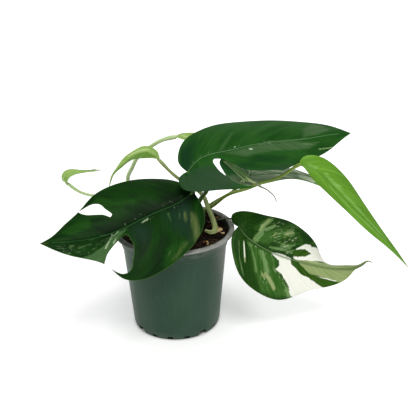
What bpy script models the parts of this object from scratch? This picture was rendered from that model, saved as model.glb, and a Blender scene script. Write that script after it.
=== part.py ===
"""Potted pothos: a climbing aroid with slit, partly variegated leaves in a thin-walled nursery pot.

Lengths are written in millimetres and scaled to metres when a mesh is placed. +Z is up, the origin is the
middle of the pot's flat base, +X runs towards the tips of the right-hand leaves, and -Y is the side that
the front leaf hangs over. Angles round the pot are measured from -Y towards +X.
"""

import math
from dataclasses import dataclass

import bmesh
import bpy
import numpy as np
from mathutils import Matrix

MM = 0.001
GAP = 0.3

# Pot
POT_HEIGHT = 89.0
RIM_RADIUS = 51.0
RIM_INNER_RADIUS = 46.4
LIP_DEPTH = 2.6
COLLAR_FOOT_HEIGHT = 76.0
COLLAR_FOOT_RADIUS = 44.9
WALL_TOP_HEIGHT = 69.0
WALL_TOP_RADIUS = 43.7
WALL_FOOT_HEIGHT = 4.0
WALL_FOOT_RADIUS = 37.9
BASE_RADIUS = 35.5
WALL = 1.1
FLOOR = 1.4
POT_SIDES = 64

# Feet: four raised channels cross the base's edge and leave four foot arcs, each with three drain notches
CHANNEL_ANGLES = (35.0, 125.0, 215.0, 305.0)
CHANNEL_WIDTH = 7.5
CHANNEL_HEIGHT = 5.5
CHANNEL_START = 22.0
NOTCH_SPREAD = 22.0
NOTCH_WIDTH = 3.0
NOTCH_HEIGHT = 3.4
NOTCH_START = 33.0
CUT_END = 45.0

# Potting mix
SOIL_LEVEL = 84.0
SOIL_SWELL = 0.6

# Plant
BLADE_THICKNESS = 0.8
SLIT_REACH = 0.3
TUBE_RESOLUTION = 2
TUBE_STEP = 5.0
FOOT_GAP = 0.45
NOSE = ((0.5, 0.87), (0.95, 0.3))
LOBED = 0.1
TINY = 1e-4


@dataclass(frozen=True)
class Slit:
    """A natural split in a blade, from near the rib out to the margin.

    side is "near" or "far". The slit starts at place along the blade (0 base, 1 tip) and start out from the
    rib (0 rib, 1 margin). base_edge and tip_edge are the points (out, along) of its two sides from there.
    """

    side: str
    place: float
    start: float
    base_edge: tuple
    tip_edge: tuple


@dataclass(frozen=True)
class Blade:
    """A leaf blade, held by its rib and its two margins, base to tip, in millimetres.

    lobe is the share of the margins that runs round the lobes behind the base, sweep is how strongly the
    veins lean towards the tip, arch is how far the halves bulge upwards as a share of their width, and rows
    and columns set the grid.
    """

    name: str
    colour: tuple
    rib: tuple
    near: tuple
    far: tuple
    lobe: float
    arch: float
    rows: int
    columns: int
    slits: tuple = ()
    sweep: float = 1.25


@dataclass(frozen=True)
class Stalk:
    """A round petiole or stem. foot is where it stands on the potting mix, route its other points from the
    foot up, and blade the leaf that its top carries. The blade's base ends the route."""

    name: str
    colour: tuple
    foot_radius: float
    top_radius: float
    foot: tuple | None
    route: tuple
    blade: str = ""


BLADES = (
    Blade(
        name="top_leaf",
        colour=(0.02, 0.09, 0.03),
        rib=((12, -10, 142), (21, -4, 150), (45, 2, 155), (67, 4, 159), (106, -4, 165), (126, -13, 171),
             (141, -20, 174)),
        near=((12, -10, 142), (5, -14, 138), (7, -20, 132), (17, -24, 130), (39, -26, 132), (58, -27, 133),
              (68, -27, 135), (81, -26, 143), (93, -25, 149), (105, -24, 153), (121, -22, 159),
              (135, -21, 170), (141, -20, 174)),
        far=((12, -10, 142), (5, 0, 147), (5, 6, 152), (10, 16, 160), (23, 26, 165), (39, 36, 167),
             (67, 38, 169), (98, 28, 171), (126, 4, 174), (141, -20, 174)),
        lobe=0.16,
        arch=0.06,
        rows=26,
        columns=6,
        slits=(
            Slit("near", 0.37, 0.17,
                 base_edge=((0.33, 0.35), (0.55, 0.354), (0.67, 0.367), (0.93, 0.42), (1.0, 0.47)),
                 tip_edge=((0.2, 0.396), (0.38, 0.433), (0.57, 0.471), (0.72, 0.525), (1.0, 0.63))),
        ),
    ),
    Blade(
        name="front_leaf",
        colour=(0.02, 0.08, 0.03),
        rib=((16, -12, 125), (5, -20, 120), (-14, -28, 115), (-38, -37, 107), (-62, -45, 102),
             (-85, -50, 102), (-104, -52, 102)),
        near=((16, -12, 125), (23, -24, 117), (23, -42, 108), (12, -58, 97), (-5, -63, 84), (-24, -67, 76),
              (-41, -68, 78), (-52, -66, 88), (-67, -62, 92), (-84, -58, 95), (-104, -52, 102)),
        far=((16, -12, 125), (5, -2, 130), (-18, 0, 133), (-45, -8, 133), (-65, -17, 126), (-76, -28, 117),
             (-86, -37, 111), (-95, -46, 105), (-104, -52, 102)),
        lobe=0.14,
        arch=0.06,
        rows=26,
        columns=6,
        slits=(
            Slit("near", 0.62, 0.17,
                 base_edge=((0.3, 0.59), (0.45, 0.575), (0.65, 0.58), (0.92, 0.613), (1.0, 0.667)),
                 tip_edge=((0.28, 0.66), (0.42, 0.683), (0.67, 0.708), (1.0, 0.721))),
            Slit("far", 0.635, 0.36,
                 base_edge=((0.42, 0.617), (0.58, 0.621), (0.77, 0.625), (0.88, 0.654), (1.0, 0.71)),
                 tip_edge=((0.5, 0.654), (0.62, 0.683), (0.73, 0.708), (0.87, 0.725), (1.0, 0.73))),
        ),
    ),
    Blade(
        name="variegated_leaf",
        colour=(0.2, 0.3, 0.12),
        rib=((54, -10, 92), (57, -14, 88), (68, -18, 79), (88, -22, 69), (110, -24, 62), (135, -22, 55),
             (154, -18, 53), (169, -14, 55)),
        near=((54, -10, 92), (49, -20, 92), (46, -30, 90), (47, -36, 77), (54, -38, 58), (70, -38, 42),
              (87, -36, 35), (109, -34, 41), (131, -31, 44), (146, -26, 49), (158, -19, 54),
              (169, -14, 55)),
        far=((54, -10, 92), (51, -5, 93), (49, -2, 95), (49, 0, 98), (53, 2, 100), (62, 3, 100),
             (79, 6, 94), (99, 6, 88), (112, 2, 80), (122, -5, 68), (129, -12, 56), (148, -15, 53),
             (161, -15, 55), (169, -14, 55)),
        lobe=0.14,
        arch=0.05,
        rows=24,
        columns=5,
    ),
    Blade(
        name="young_leaf",
        colour=(0.12, 0.36, 0.03),
        rib=((99, -31, 154), (110, -35, 150), (121, -37, 140), (136, -39, 124), (153, -40, 107),
             (171, -41, 88), (191, -41, 64)),
        near=((99, -31, 154), (103, -34, 151), (108, -37, 144), (114, -39, 138), (134, -43, 119),
              (156, -45, 98), (179, -43, 77), (191, -41, 64)),
        far=((99, -31, 154), (102, -29, 158), (113, -28, 159), (128, -28, 150), (143, -30, 133),
             (157, -33, 112), (175, -37, 87), (191, -41, 64)),
        lobe=0.03,
        arch=0.05,
        rows=20,
        columns=4,
    ),
    Blade(
        name="back_leaf",
        colour=(0.08, 0.14, 0.08),
        rib=((59, 6, 130), (75, 12, 129), (95, 10, 130), (110, 2, 131), (121, -7, 129), (130, -14, 123)),
        near=((59, 6, 130), (52, 8, 140), (45, 8, 147), (39, 5, 145), (41, 3, 139), (45, 3, 132),
              (51, -1, 128), (60, -5, 128), (73, -6, 130), (89, -6, 131), (103, -9, 132),
              (116, -12, 129), (130, -14, 123)),
        far=((59, 6, 130), (50, 16, 131), (47, 28, 133), (59, 36, 130), (79, 38, 127), (98, 30, 128),
             (108, 14, 131), (121, -2, 129), (130, -14, 123)),
        lobe=0.2,
        arch=0.04,
        rows=24,
        columns=4,
    ),
    Blade(
        name="dried_sheath",
        colour=(0.3, 0.4, 0.2),
        rib=((69, -9, 131.3), (61, -7, 134), (52, -4, 140), (41, 0, 147)),
        near=((69, -9, 131.3), (65, -9, 131), (58, -8, 133), (52, -6, 138), (46, -3, 143), (41, 0, 147)),
        far=((69, -9, 131.3), (64, -5, 133), (62, -3, 139), (55, -2, 143), (48, -1, 147), (41, 0, 147)),
        lobe=0.0,
        arch=0.05,
        rows=10,
        columns=2,
    ),
    Blade(
        name="mid_left_leaf",
        colour=(0.25, 0.4, 0.12),
        rib=((-11, 30, 139), (-19, 32, 147), (-30, 31, 145), (-41, 28, 138), (-50, 26, 130),
             (-55, 24, 118)),
        near=((-11, 30, 139), (-17, 26, 142), (-24, 24, 143), (-31, 23, 143), (-38, 23, 140),
              (-45, 24, 134), (-51, 24, 128), (-55, 24, 118)),
        far=((-11, 30, 139), (-13, 35, 145), (-22, 38, 149), (-33, 36, 146), (-40, 33, 142),
             (-49, 29, 132), (-52, 27, 128), (-55, 24, 118)),
        lobe=0.04,
        arch=0.05,
        rows=14,
        columns=3,
    ),
    Blade(
        name="arching_leaf",
        colour=(0.25, 0.4, 0.12),
        rib=((3, 50, 153), (11, 52, 154), (21, 54, 151), (30, 54, 146)),
        near=((3, 50, 153), (8, 47, 152), (14, 47, 150), (23, 50, 146), (30, 54, 146)),
        far=((3, 50, 153), (6, 53, 154), (13, 57, 154), (23, 57, 153), (30, 54, 146)),
        lobe=0.04,
        arch=0.05,
        rows=12,
        columns=3,
    ),
    Blade(
        name="far_left_leaf",
        colour=(0.3, 0.45, 0.15),
        rib=((-90, 26, 121), (-93, 26, 128), (-87, 26, 133), (-77, 26, 132), (-69, 26, 133),
             (-62, 26, 132)),
        near=((-90, 26, 121), (-90, 22, 125), (-87, 21, 129), (-83, 21, 131), (-75, 23, 132),
              (-67, 25, 132), (-62, 26, 132)),
        far=((-90, 26, 121), (-95, 28, 124), (-95, 29, 128), (-92, 30, 131), (-84, 30, 133),
             (-71, 28, 133), (-62, 26, 132)),
        lobe=0.04,
        arch=0.05,
        rows=12,
        columns=3,
    ),
)

PALE_GREEN = (0.33, 0.42, 0.16)
OLIVE_GREEN = (0.1, 0.16, 0.02)
DARK_GREEN = (0.03, 0.09, 0.02)

STALKS = (
    Stalk("main_stem", OLIVE_GREEN, 3.2, 2.8, (5, 31), ((7, 27, 92), (10, 19, 103))),
    Stalk("front_petiole", DARK_GREEN, 2.2, 1.6, None, ((11.5, 15.6, 106.8), (14, 4, 116)), "front_leaf"),
    Stalk("top_petiole", DARK_GREEN, 2.0, 1.8, (13, 38), ((22, 20, 103), (25, 12, 112), (28, 4, 120),
          (25, -3, 130), (19, -8, 136)), "top_leaf"),
    Stalk("young_petiole", OLIVE_GREEN, 1.7, 1.2, (16, 27), ((29, 26, 93), (34, 22, 98), (44, 9, 112),
          (51, 0, 119), (62, -7, 125), (73, -11, 131), (84, -15, 136), (90, -19, 141), (97, -27, 150)),
          "young_leaf"),
    Stalk("back_petiole", OLIVE_GREEN, 1.6, 1.3, (21, 36), ((29, 32, 92), (44, 18, 108), (53, 10, 118)),
          "back_leaf"),
    Stalk("variegated_petiole", PALE_GREEN, 1.2, 1.0, (34, 26), ((38, 21, 86.6), (43, 11, 90.2),
          (47.5, 4, 92), (50.3, -1, 91.2), (52.3, -5.5, 88.9)), "variegated_leaf"),
    Stalk("mid_left_petiole", PALE_GREEN, 2.3, 1.6, None, ((26.5, -5, 86.8), (29.5, -8, 86.8),
          (32.5, -7.6, 87), (34.5, -5, 88.3), (35, 0, 92), (34, 6, 95), (31, 12, 98.3), (29, 17.5, 100.5),
          (26.8, 22.3, 102.3), (20, 27, 107), (12, 29, 115), (4, 29, 122), (-2, 30, 128), (-8, 30, 135)),
          "mid_left_leaf"),
    Stalk("arching_petiole", PALE_GREEN, 1.8, 1.4, (-20, 30), ((-25, 36, 93), (-33, 43, 101),
          (-39, 47, 109), (-40, 49, 117), (-36, 50, 125), (-32, 50, 133), (-26, 50, 139), (-18, 50, 145),
          (-6, 50, 151)), "arching_leaf"),
    Stalk("far_left_petiole", PALE_GREEN, 1.7, 1.4, (-10, 30), ((-20, 31, 92), (-38, 30, 101),
          (-55, 27, 106), (-70, 25, 110), (-77, 25, 112), (-84, 25, 116)), "far_left_leaf"),
    Stalk("dried_tip", PALE_GREEN, 1.0, 0.5, None, ((70.3, -12, 127.8), (73.5, -13, 127.3),
          (78.5, -14.3, 124.2), (82.5, -15, 120), (84.3, -15, 116))),
)


class Guide:
    """A smooth curve through a few points: a natural cubic spline over the chord lengths."""

    def __init__(self, points):
        self.points = np.array(points, dtype=float)
        steps = np.linalg.norm(np.diff(self.points, axis=0), axis=1)
        self.knots = np.concatenate([[0.0], np.cumsum(steps)])
        self.length = self.knots[-1]
        self.bends = self._bends(steps)

    def _bends(self, steps):
        """Second derivatives at the points, zero at both ends."""
        count = len(self.points)
        system = np.eye(count)
        right = np.zeros_like(self.points)
        slopes = np.diff(self.points, axis=0) / steps[:, None]
        for i in range(1, count - 1):
            system[i, i - 1:i + 2] = (steps[i - 1], 2 * (steps[i - 1] + steps[i]), steps[i])
            right[i] = 6 * (slopes[i] - slopes[i - 1])
        return np.linalg.solve(system, right)

    def at(self, share):
        """The point at a share of the curve's length, from 0 to 1."""
        place = min(max(share, 0.0), 1.0) * self.length
        i = min(int(np.searchsorted(self.knots, place, side="right")) - 1, len(self.knots) - 2)
        step = self.knots[i + 1] - self.knots[i]
        b = (place - self.knots[i]) / step
        a = 1 - b
        ends = a * self.points[i] + b * self.points[i + 1]
        bend = (a**3 - a) * self.bends[i] + (b**3 - b) * self.bends[i + 1]
        return ends + bend * step**2 / 6

    def along(self, share):
        """The unit direction of travel at a share of the length."""
        step = 0.01
        ahead = self.at(min(share + step, 1.0)) - self.at(max(share - step, 0.0))
        return ahead / np.linalg.norm(ahead)


def finish(name, colour, roughness=0.5):
    """A plain Principled material."""
    material = bpy.data.materials.new(name)
    material.use_nodes = True
    shader = material.node_tree.nodes["Principled BSDF"]
    shader.inputs["Base Color"].default_value = (*colour, 1.0)
    shader.inputs["Roughness"].default_value = roughness
    shader.inputs["Metallic"].default_value = 0.0
    return material


def add_object(name, data, material=None):
    """Link a new object and give it its material."""
    thing = bpy.data.objects.new(name, data)
    bpy.context.scene.collection.objects.link(thing)
    if material is not None:
        data.materials.append(material)
    return thing


def mesh_from(bm, name, weld=0.00001):
    """Turn a bmesh in millimetres into a mesh in metres, with its faces pointing outwards."""
    bmesh.ops.remove_doubles(bm, verts=bm.verts, dist=weld / MM)
    bmesh.ops.scale(bm, vec=(MM, MM, MM), verts=bm.verts)
    bmesh.ops.recalc_face_normals(bm, faces=bm.faces)
    mesh = bpy.data.meshes.new(name)
    bm.to_mesh(mesh)
    bm.free()
    mesh.shade_smooth()
    mesh.set_sharp_from_angle(angle=math.radians(35))
    return mesh


def turned(name, profile):
    """A solid turned about +Z from a profile that starts and ends on the axis."""
    bm = bmesh.new()
    corners = [bm.verts.new((radius, 0.0, height)) for radius, height in profile]
    edges = [bm.edges.new(pair) for pair in zip(corners, corners[1:])]
    bmesh.ops.spin(bm, geom=corners + edges, cent=(0, 0, 0), axis=(0, 0, 1), angle=math.tau,
                   steps=POT_SIDES, use_merge=True)
    return mesh_from(bm, name)


def spokes(name, angles, inner, outer, width, bottom, top, bevel):
    """Boxes that lie along radii of the pot, with their upper long edges bevelled."""
    bm = bmesh.new()
    for angle in angles:
        made = bmesh.ops.create_cube(bm, size=1.0)["verts"]
        bmesh.ops.scale(bm, verts=made, vec=(width, outer - inner, top - bottom))
        bmesh.ops.translate(bm, verts=made, vec=(0, -(outer + inner) / 2, (top + bottom) / 2))
        ridges = [
            edge
            for edge in {edge for vert in made for edge in vert.link_edges}
            if all(vert.co.z > (top + bottom) / 2 for vert in edge.verts)
            and abs(edge.verts[0].co.x - edge.verts[1].co.x) < width / 2
        ]
        rounded = bmesh.ops.bevel(bm, geom=ridges, offset=bevel, offset_type="OFFSET", affect="EDGES",
                                  segments=3, profile=0.5, material=-1)
        spoke = {vert for vert in made if vert.is_valid} | set(rounded["verts"])
        bmesh.ops.rotate(bm, verts=list(spoke), cent=(0, 0, 0),
                         matrix=Matrix.Rotation(math.radians(angle), 3, "Z"))
    return mesh_from(bm, name)


def cutter(name, mesh):
    """A hidden object that only cuts others."""
    thing = add_object(name, mesh)
    thing.hide_render = True
    thing.display_type = "WIRE"
    return thing


def cut(thing, tool):
    """Take a cutter's shape out of an object."""
    boolean = thing.modifiers.new(tool.name, "BOOLEAN")
    boolean.operation = "DIFFERENCE"
    boolean.solver = "EXACT"
    boolean.object = tool


def inner_profile(offset=0.0):
    """The pot's inner wall from floor to mouth, as (radius, height), moved inwards by an offset."""
    return (
        (WALL_FOOT_RADIUS - WALL - offset, FLOOR + 2.5),
        (WALL_TOP_RADIUS - WALL - offset, WALL_TOP_HEIGHT),
        (COLLAR_FOOT_RADIUS - WALL - offset, COLLAR_FOOT_HEIGHT),
        (RIM_INNER_RADIUS - 0.5 - offset, POT_HEIGHT - 5.0),
    )


def build_pot():
    """The pot: a turned shell with a rolled lip, four raised channels under its floor and drain notches."""
    outside = turned("pot", (
        (0.0, 0.0),
        (BASE_RADIUS, 0.0),
        (BASE_RADIUS + 1.5, 1.0),
        (WALL_FOOT_RADIUS, WALL_FOOT_HEIGHT),
        (WALL_TOP_RADIUS, WALL_TOP_HEIGHT),
        (COLLAR_FOOT_RADIUS - 0.6, COLLAR_FOOT_HEIGHT - 0.6),
        (COLLAR_FOOT_RADIUS + 0.2, COLLAR_FOOT_HEIGHT),
        (COLLAR_FOOT_RADIUS + 1.0, POT_HEIGHT - 8.0),
        (RIM_RADIUS - 2.6, POT_HEIGHT - LIP_DEPTH - 0.4),
        (RIM_RADIUS - 0.6, POT_HEIGHT - LIP_DEPTH),
        (RIM_RADIUS, POT_HEIGHT - LIP_DEPTH + 0.6),
        (RIM_RADIUS, POT_HEIGHT - 0.5),
        (RIM_RADIUS - 0.6, POT_HEIGHT),
        (0.0, POT_HEIGHT),
    ))
    hollow = turned("pot_hollow", (
        (0.0, FLOOR),
        (BASE_RADIUS - WALL, FLOOR),
        *inner_profile(),
        (RIM_INNER_RADIUS, POT_HEIGHT - 1.0),
        (RIM_INNER_RADIUS + 0.6, POT_HEIGHT),
        (RIM_INNER_RADIUS + 0.6, POT_HEIGHT + 2.0),
        (0.0, POT_HEIGHT + 2.0),
    ))
    covers = spokes("channel_covers", CHANNEL_ANGLES, CHANNEL_START - WALL, CUT_END,
                    CHANNEL_WIDTH + 2 * WALL, -1.0, CHANNEL_HEIGHT + WALL, 2.0 + WALL)
    channels = spokes("channels", CHANNEL_ANGLES, CHANNEL_START, CUT_END, CHANNEL_WIDTH, -1.0,
                      CHANNEL_HEIGHT, 2.0)
    notch_angles = [middle + 45.0 + step * NOTCH_SPREAD for middle in CHANNEL_ANGLES for step in (-1, 0, 1)]
    notches = spokes("drain_notches", notch_angles, NOTCH_START, CUT_END, NOTCH_WIDTH, -1.0,
                     NOTCH_HEIGHT, 1.0)

    cover_tool = cutter("channel_covers", covers)
    hollow_tool = cutter("pot_hollow", hollow)
    cut(hollow_tool, cover_tool)
    pot = add_object("pot", outside, finish("pot_plastic", (0.045, 0.105, 0.06), 0.45))
    cut(pot, hollow_tool)
    cut(pot, cutter("channels", channels))
    cut(pot, cutter("drain_notches", notches))


def soil_height(x, y):
    """Height of the potting mix's gently uneven surface."""
    return SOIL_LEVEL + SOIL_SWELL * math.sin(x / 9.0 + 0.6) * math.cos(y / 11.0 - 0.4)


def build_soil():
    """The potting mix: it fills the pot with a small gap, and its top swells and dips a little."""
    wall = inner_profile(GAP)
    low, high = wall[2], wall[3]
    edge = low[0] + (high[0] - low[0]) * (SOIL_LEVEL - low[1]) / (high[1] - low[1])
    rings = [edge * share for share in (0.84, 0.67, 0.5, 0.33, 0.17)]
    mesh = turned("soil", (
        (0.0, FLOOR + GAP),
        (BASE_RADIUS - WALL - 2 * GAP, FLOOR + GAP),
        *wall[:3],
        (edge, SOIL_LEVEL),
        *[(radius, SOIL_LEVEL) for radius in rings],
        (0.0, SOIL_LEVEL),
    ))
    for vert in mesh.vertices:
        x, y, z = (value / MM for value in vert.co)
        if z > SOIL_LEVEL - 1.0 and math.hypot(x, y) < edge - 1.0:
            vert.co.z = soil_height(x, y) * MM
    room = spokes("soil_room", CHANNEL_ANGLES, CHANNEL_START - WALL - GAP, CUT_END,
                  CHANNEL_WIDTH + 2 * (WALL + GAP), -1.0, CHANNEL_HEIGHT + WALL + GAP, 2.0 + WALL + GAP)
    soil = add_object("soil", mesh, finish("potting_mix", (0.03, 0.02, 0.013), 0.9))
    cut(soil, cutter("soil_room", room))


def out_from_rib(across, side):
    """How far out from the rib a flat grid place lies on one side, negative on the other side."""
    return -across if side == "near" else across


def open_slit(bm, blade, slit):
    """Split the flat grid along a slit, from its inner end to the margin, and draw its two sides apart."""
    row = round(slit.place * blade.rows) / blade.rows
    first = round(slit.start * blade.columns) / blade.columns
    line = [
        edge
        for edge in bm.edges
        if all(abs(vert.co.x - row) < TINY for vert in edge.verts)
        and all(out_from_rib(vert.co.y, slit.side) > first - TINY for vert in edge.verts)
    ]
    bmesh.ops.split_edges(bm, edges=line)
    sides = {}
    for vert in bm.verts:
        out = out_from_rib(vert.co.y, slit.side)
        centre = sum(face.calc_center_median().x for face in vert.link_faces) / len(vert.link_faces)
        if out > first + TINY:
            edge = slit.base_edge if centre < row else slit.tip_edge
            opened = math.sqrt((out - first) / (1.0 - first))
            stations = [math.sqrt(max(0.0, point[0] - first) / (1.0 - first)) for point in edge]
            shift = float(np.interp(opened, [0.0, *stations], [row, *[point[1] for point in edge]])) - row
            end = 0.0 if centre < row else 1.0
            reach = min(SLIT_REACH, abs(end - row))
            closeness = max(0.0, 1.0 - abs(vert.co.x - row) / reach)
            sides[vert] = vert.co.x + shift * closeness
    for vert, along in sides.items():
        vert.co.x = along


def blade_up(blade, share=0.0):
    """The direction that a blade's upper face points to, which is upwards, at a share of its rib."""
    near, far = Guide(blade.near), Guide(blade.far)
    breadth = sum(far.at(place) - near.at(place) for place in (0.35, 0.5, 0.65))
    up = np.cross(Guide(blade.rib).along(share), breadth)
    up = up / np.linalg.norm(up)
    return up if up[2] > 0 else -up


def build_blade(blade):
    """A blade: a flat grid, split along its slits, laid between the rib and the margins and thickened."""
    rib, near, far = Guide(blade.rib), Guide(blade.near), Guide(blade.far)
    ups = [blade_up(blade, share) for share in np.linspace(0, 1, blade.rows + 1)]

    bm = bmesh.new()
    bmesh.ops.create_grid(bm, x_segments=blade.rows, y_segments=2 * blade.columns, size=1.0)
    bmesh.ops.scale(bm, verts=bm.verts, vec=(0.5, 1.0, 1.0))
    bmesh.ops.translate(bm, verts=bm.verts, vec=(0.5, 0.0, 0.0))
    for slit in blade.slits:
        open_slit(bm, blade, slit)
    for vert in bm.verts:
        along, across = vert.co.x, vert.co.y
        margin = (near if across < 0 else far).at(along)
        root = max(0.0, (along - blade.lobe) / (1.0 - blade.lobe)) ** blade.sweep
        foot = rib.at(root)
        up = ups[round(root * blade.rows)]
        out = abs(across)
        lift = 4 * out * (1 - out) * blade.arch * np.linalg.norm(margin - foot)
        vert.co = foot + (margin - foot) * out + up * lift

    leaf = add_object(blade.name, mesh_from(bm, blade.name, weld=0.00005),
                      finish(blade.name, blade.colour, 0.35))
    thicken = leaf.modifiers.new("thickness", "SOLIDIFY")
    thicken.thickness = BLADE_THICKNESS * MM
    thicken.offset = 0.0


def trimmed_route(stalk):
    """The middle line of a stalk, cut back so that its rounded ends just clear what they meet.

    A lobed blade is held from below and a narrow one at its end.
    """
    start = []
    if stalk.foot is not None:
        start = [(*stalk.foot, soil_height(*stalk.foot) + stalk.foot_radius + FOOT_GAP)]
    blade = next((blade for blade in BLADES if blade.name == stalk.blade), None)
    end = [] if blade is None else [blade.rib[0]]
    guide = Guide([*start, *stalk.route, *end])
    last = 1.0
    if blade is not None:
        room = stalk.top_radius + BLADE_THICKNESS / 2 + GAP
        base, under = np.array(blade.rib[0]), -blade_up(blade)
        held_below = blade.lobe > LOBED
        while last > 0:
            away = guide.at(last) - base
            if (np.dot(away, under) if held_below else np.linalg.norm(away)) >= room:
                break
            last -= 0.002
    count = max(6, round(guide.length * last / TUBE_STEP))
    middles = [guide.at(last * step / count) for step in range(count + 1)]
    radii = [stalk.foot_radius + (stalk.top_radius - stalk.foot_radius) * (step / count) ** 0.5
             for step in range(count + 1)]
    return middles, radii


def build_stalk(stalk):
    """A petiole or stem: a tapering tube along its route, with rounded ends."""
    middles, radii = trimmed_route(stalk)
    for end, inside in ((0, 1), (-1, -2)):
        away = middles[end] - middles[inside]
        away /= np.linalg.norm(away)
        nose = [(middles[end] + away * radii[end] * reach, radii[end] * width) for reach, width in NOSE]
        places, widths = zip(*(nose if end == -1 else reversed(nose)))
        middles = [*middles, *places] if end == -1 else [*places, *middles]
        radii = [*radii, *widths] if end == -1 else [*widths, *radii]

    curve = bpy.data.curves.new(stalk.name, "CURVE")
    curve.dimensions = "3D"
    curve.bevel_depth = MM
    curve.bevel_resolution = TUBE_RESOLUTION
    curve.use_fill_caps = True
    spline = curve.splines.new("POLY")
    spline.points.add(len(middles) - 1)
    for point, middle, radius in zip(spline.points, middles, radii):
        point.co = (*(middle * MM), 1.0)
        point.radius = radius
    add_object(stalk.name, curve, finish(stalk.name, stalk.colour, 0.45))


for old in list(bpy.data.objects):
    bpy.data.objects.remove(old)
build_pot()
build_soil()
for blade in BLADES:
    build_blade(blade)
for stalk in STALKS:
    build_stalk(stalk)
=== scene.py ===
"""Potted pothos: the looks of a climbing aroid in a green nursery pot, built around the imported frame.

Lengths are in millimetres until a mesh is finished, and then in metres. +Z is up, the origin is the middle
of the pot's flat base, +X runs towards the tips of the right-hand leaves, and the front leaf hangs over the
pot on the -Y side.
"""

import logging
import math
from collections.abc import Callable, Mapping, Sequence
from dataclasses import dataclass, field
from enum import Enum

import bmesh
import bpy
import numpy as np
from mathutils import Matrix, Vector, kdtree, noise


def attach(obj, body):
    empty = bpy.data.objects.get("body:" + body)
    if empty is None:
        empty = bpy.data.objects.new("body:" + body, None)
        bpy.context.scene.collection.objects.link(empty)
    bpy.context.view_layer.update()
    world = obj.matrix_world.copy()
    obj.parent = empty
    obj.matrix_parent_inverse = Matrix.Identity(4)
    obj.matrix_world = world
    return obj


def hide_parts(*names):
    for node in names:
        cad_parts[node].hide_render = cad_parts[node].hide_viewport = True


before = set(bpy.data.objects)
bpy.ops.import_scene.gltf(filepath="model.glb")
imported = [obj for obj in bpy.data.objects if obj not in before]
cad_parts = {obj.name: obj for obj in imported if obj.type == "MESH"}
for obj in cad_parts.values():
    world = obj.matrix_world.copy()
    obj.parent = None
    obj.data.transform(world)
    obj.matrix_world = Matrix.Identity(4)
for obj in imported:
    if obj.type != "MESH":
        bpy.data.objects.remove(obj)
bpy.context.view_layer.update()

LOG = logging.getLogger("pothos")
MM = 0.001
TINY = 1e-5
SEAM = 0.001        # corners of a turned shape nearer than this, in millimetres, are one
WELD = 1e-4         # corners of a blade nearer than this are one
END_WELD = 0.02     # and those at its base and its tip
SLIVER = 0.002      # the shortest edge that a cut leaves
BODY = "root"

Colour = tuple[float, float, float]
Point = tuple[float, float, float]


# ---------------------------------------------------------------- shader graph


class Wire:
    """A node's output that takes part in sums, so that shader maths reads like ordinary maths."""

    def __init__(self, graph: "Graph", socket: bpy.types.NodeSocket) -> None:
        """Wrap a socket of a graph."""
        self.graph = graph
        self.socket = socket

    def __add__(self, other: "Value") -> "Wire":
        """This plus another value."""
        return self.graph.maths("ADD", self, other)

    def __sub__(self, other: "Value") -> "Wire":
        """This minus another value."""
        return self.graph.maths("SUBTRACT", self, other)

    def __rsub__(self, other: "Value") -> "Wire":
        """Another value minus this."""
        return self.graph.maths("SUBTRACT", other, self)

    def __mul__(self, other: "Value") -> "Wire":
        """This times another value."""
        return self.graph.maths("MULTIPLY", self, other)

    __radd__ = __add__
    __rmul__ = __mul__


Value = Wire | float | Sequence[float]


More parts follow.
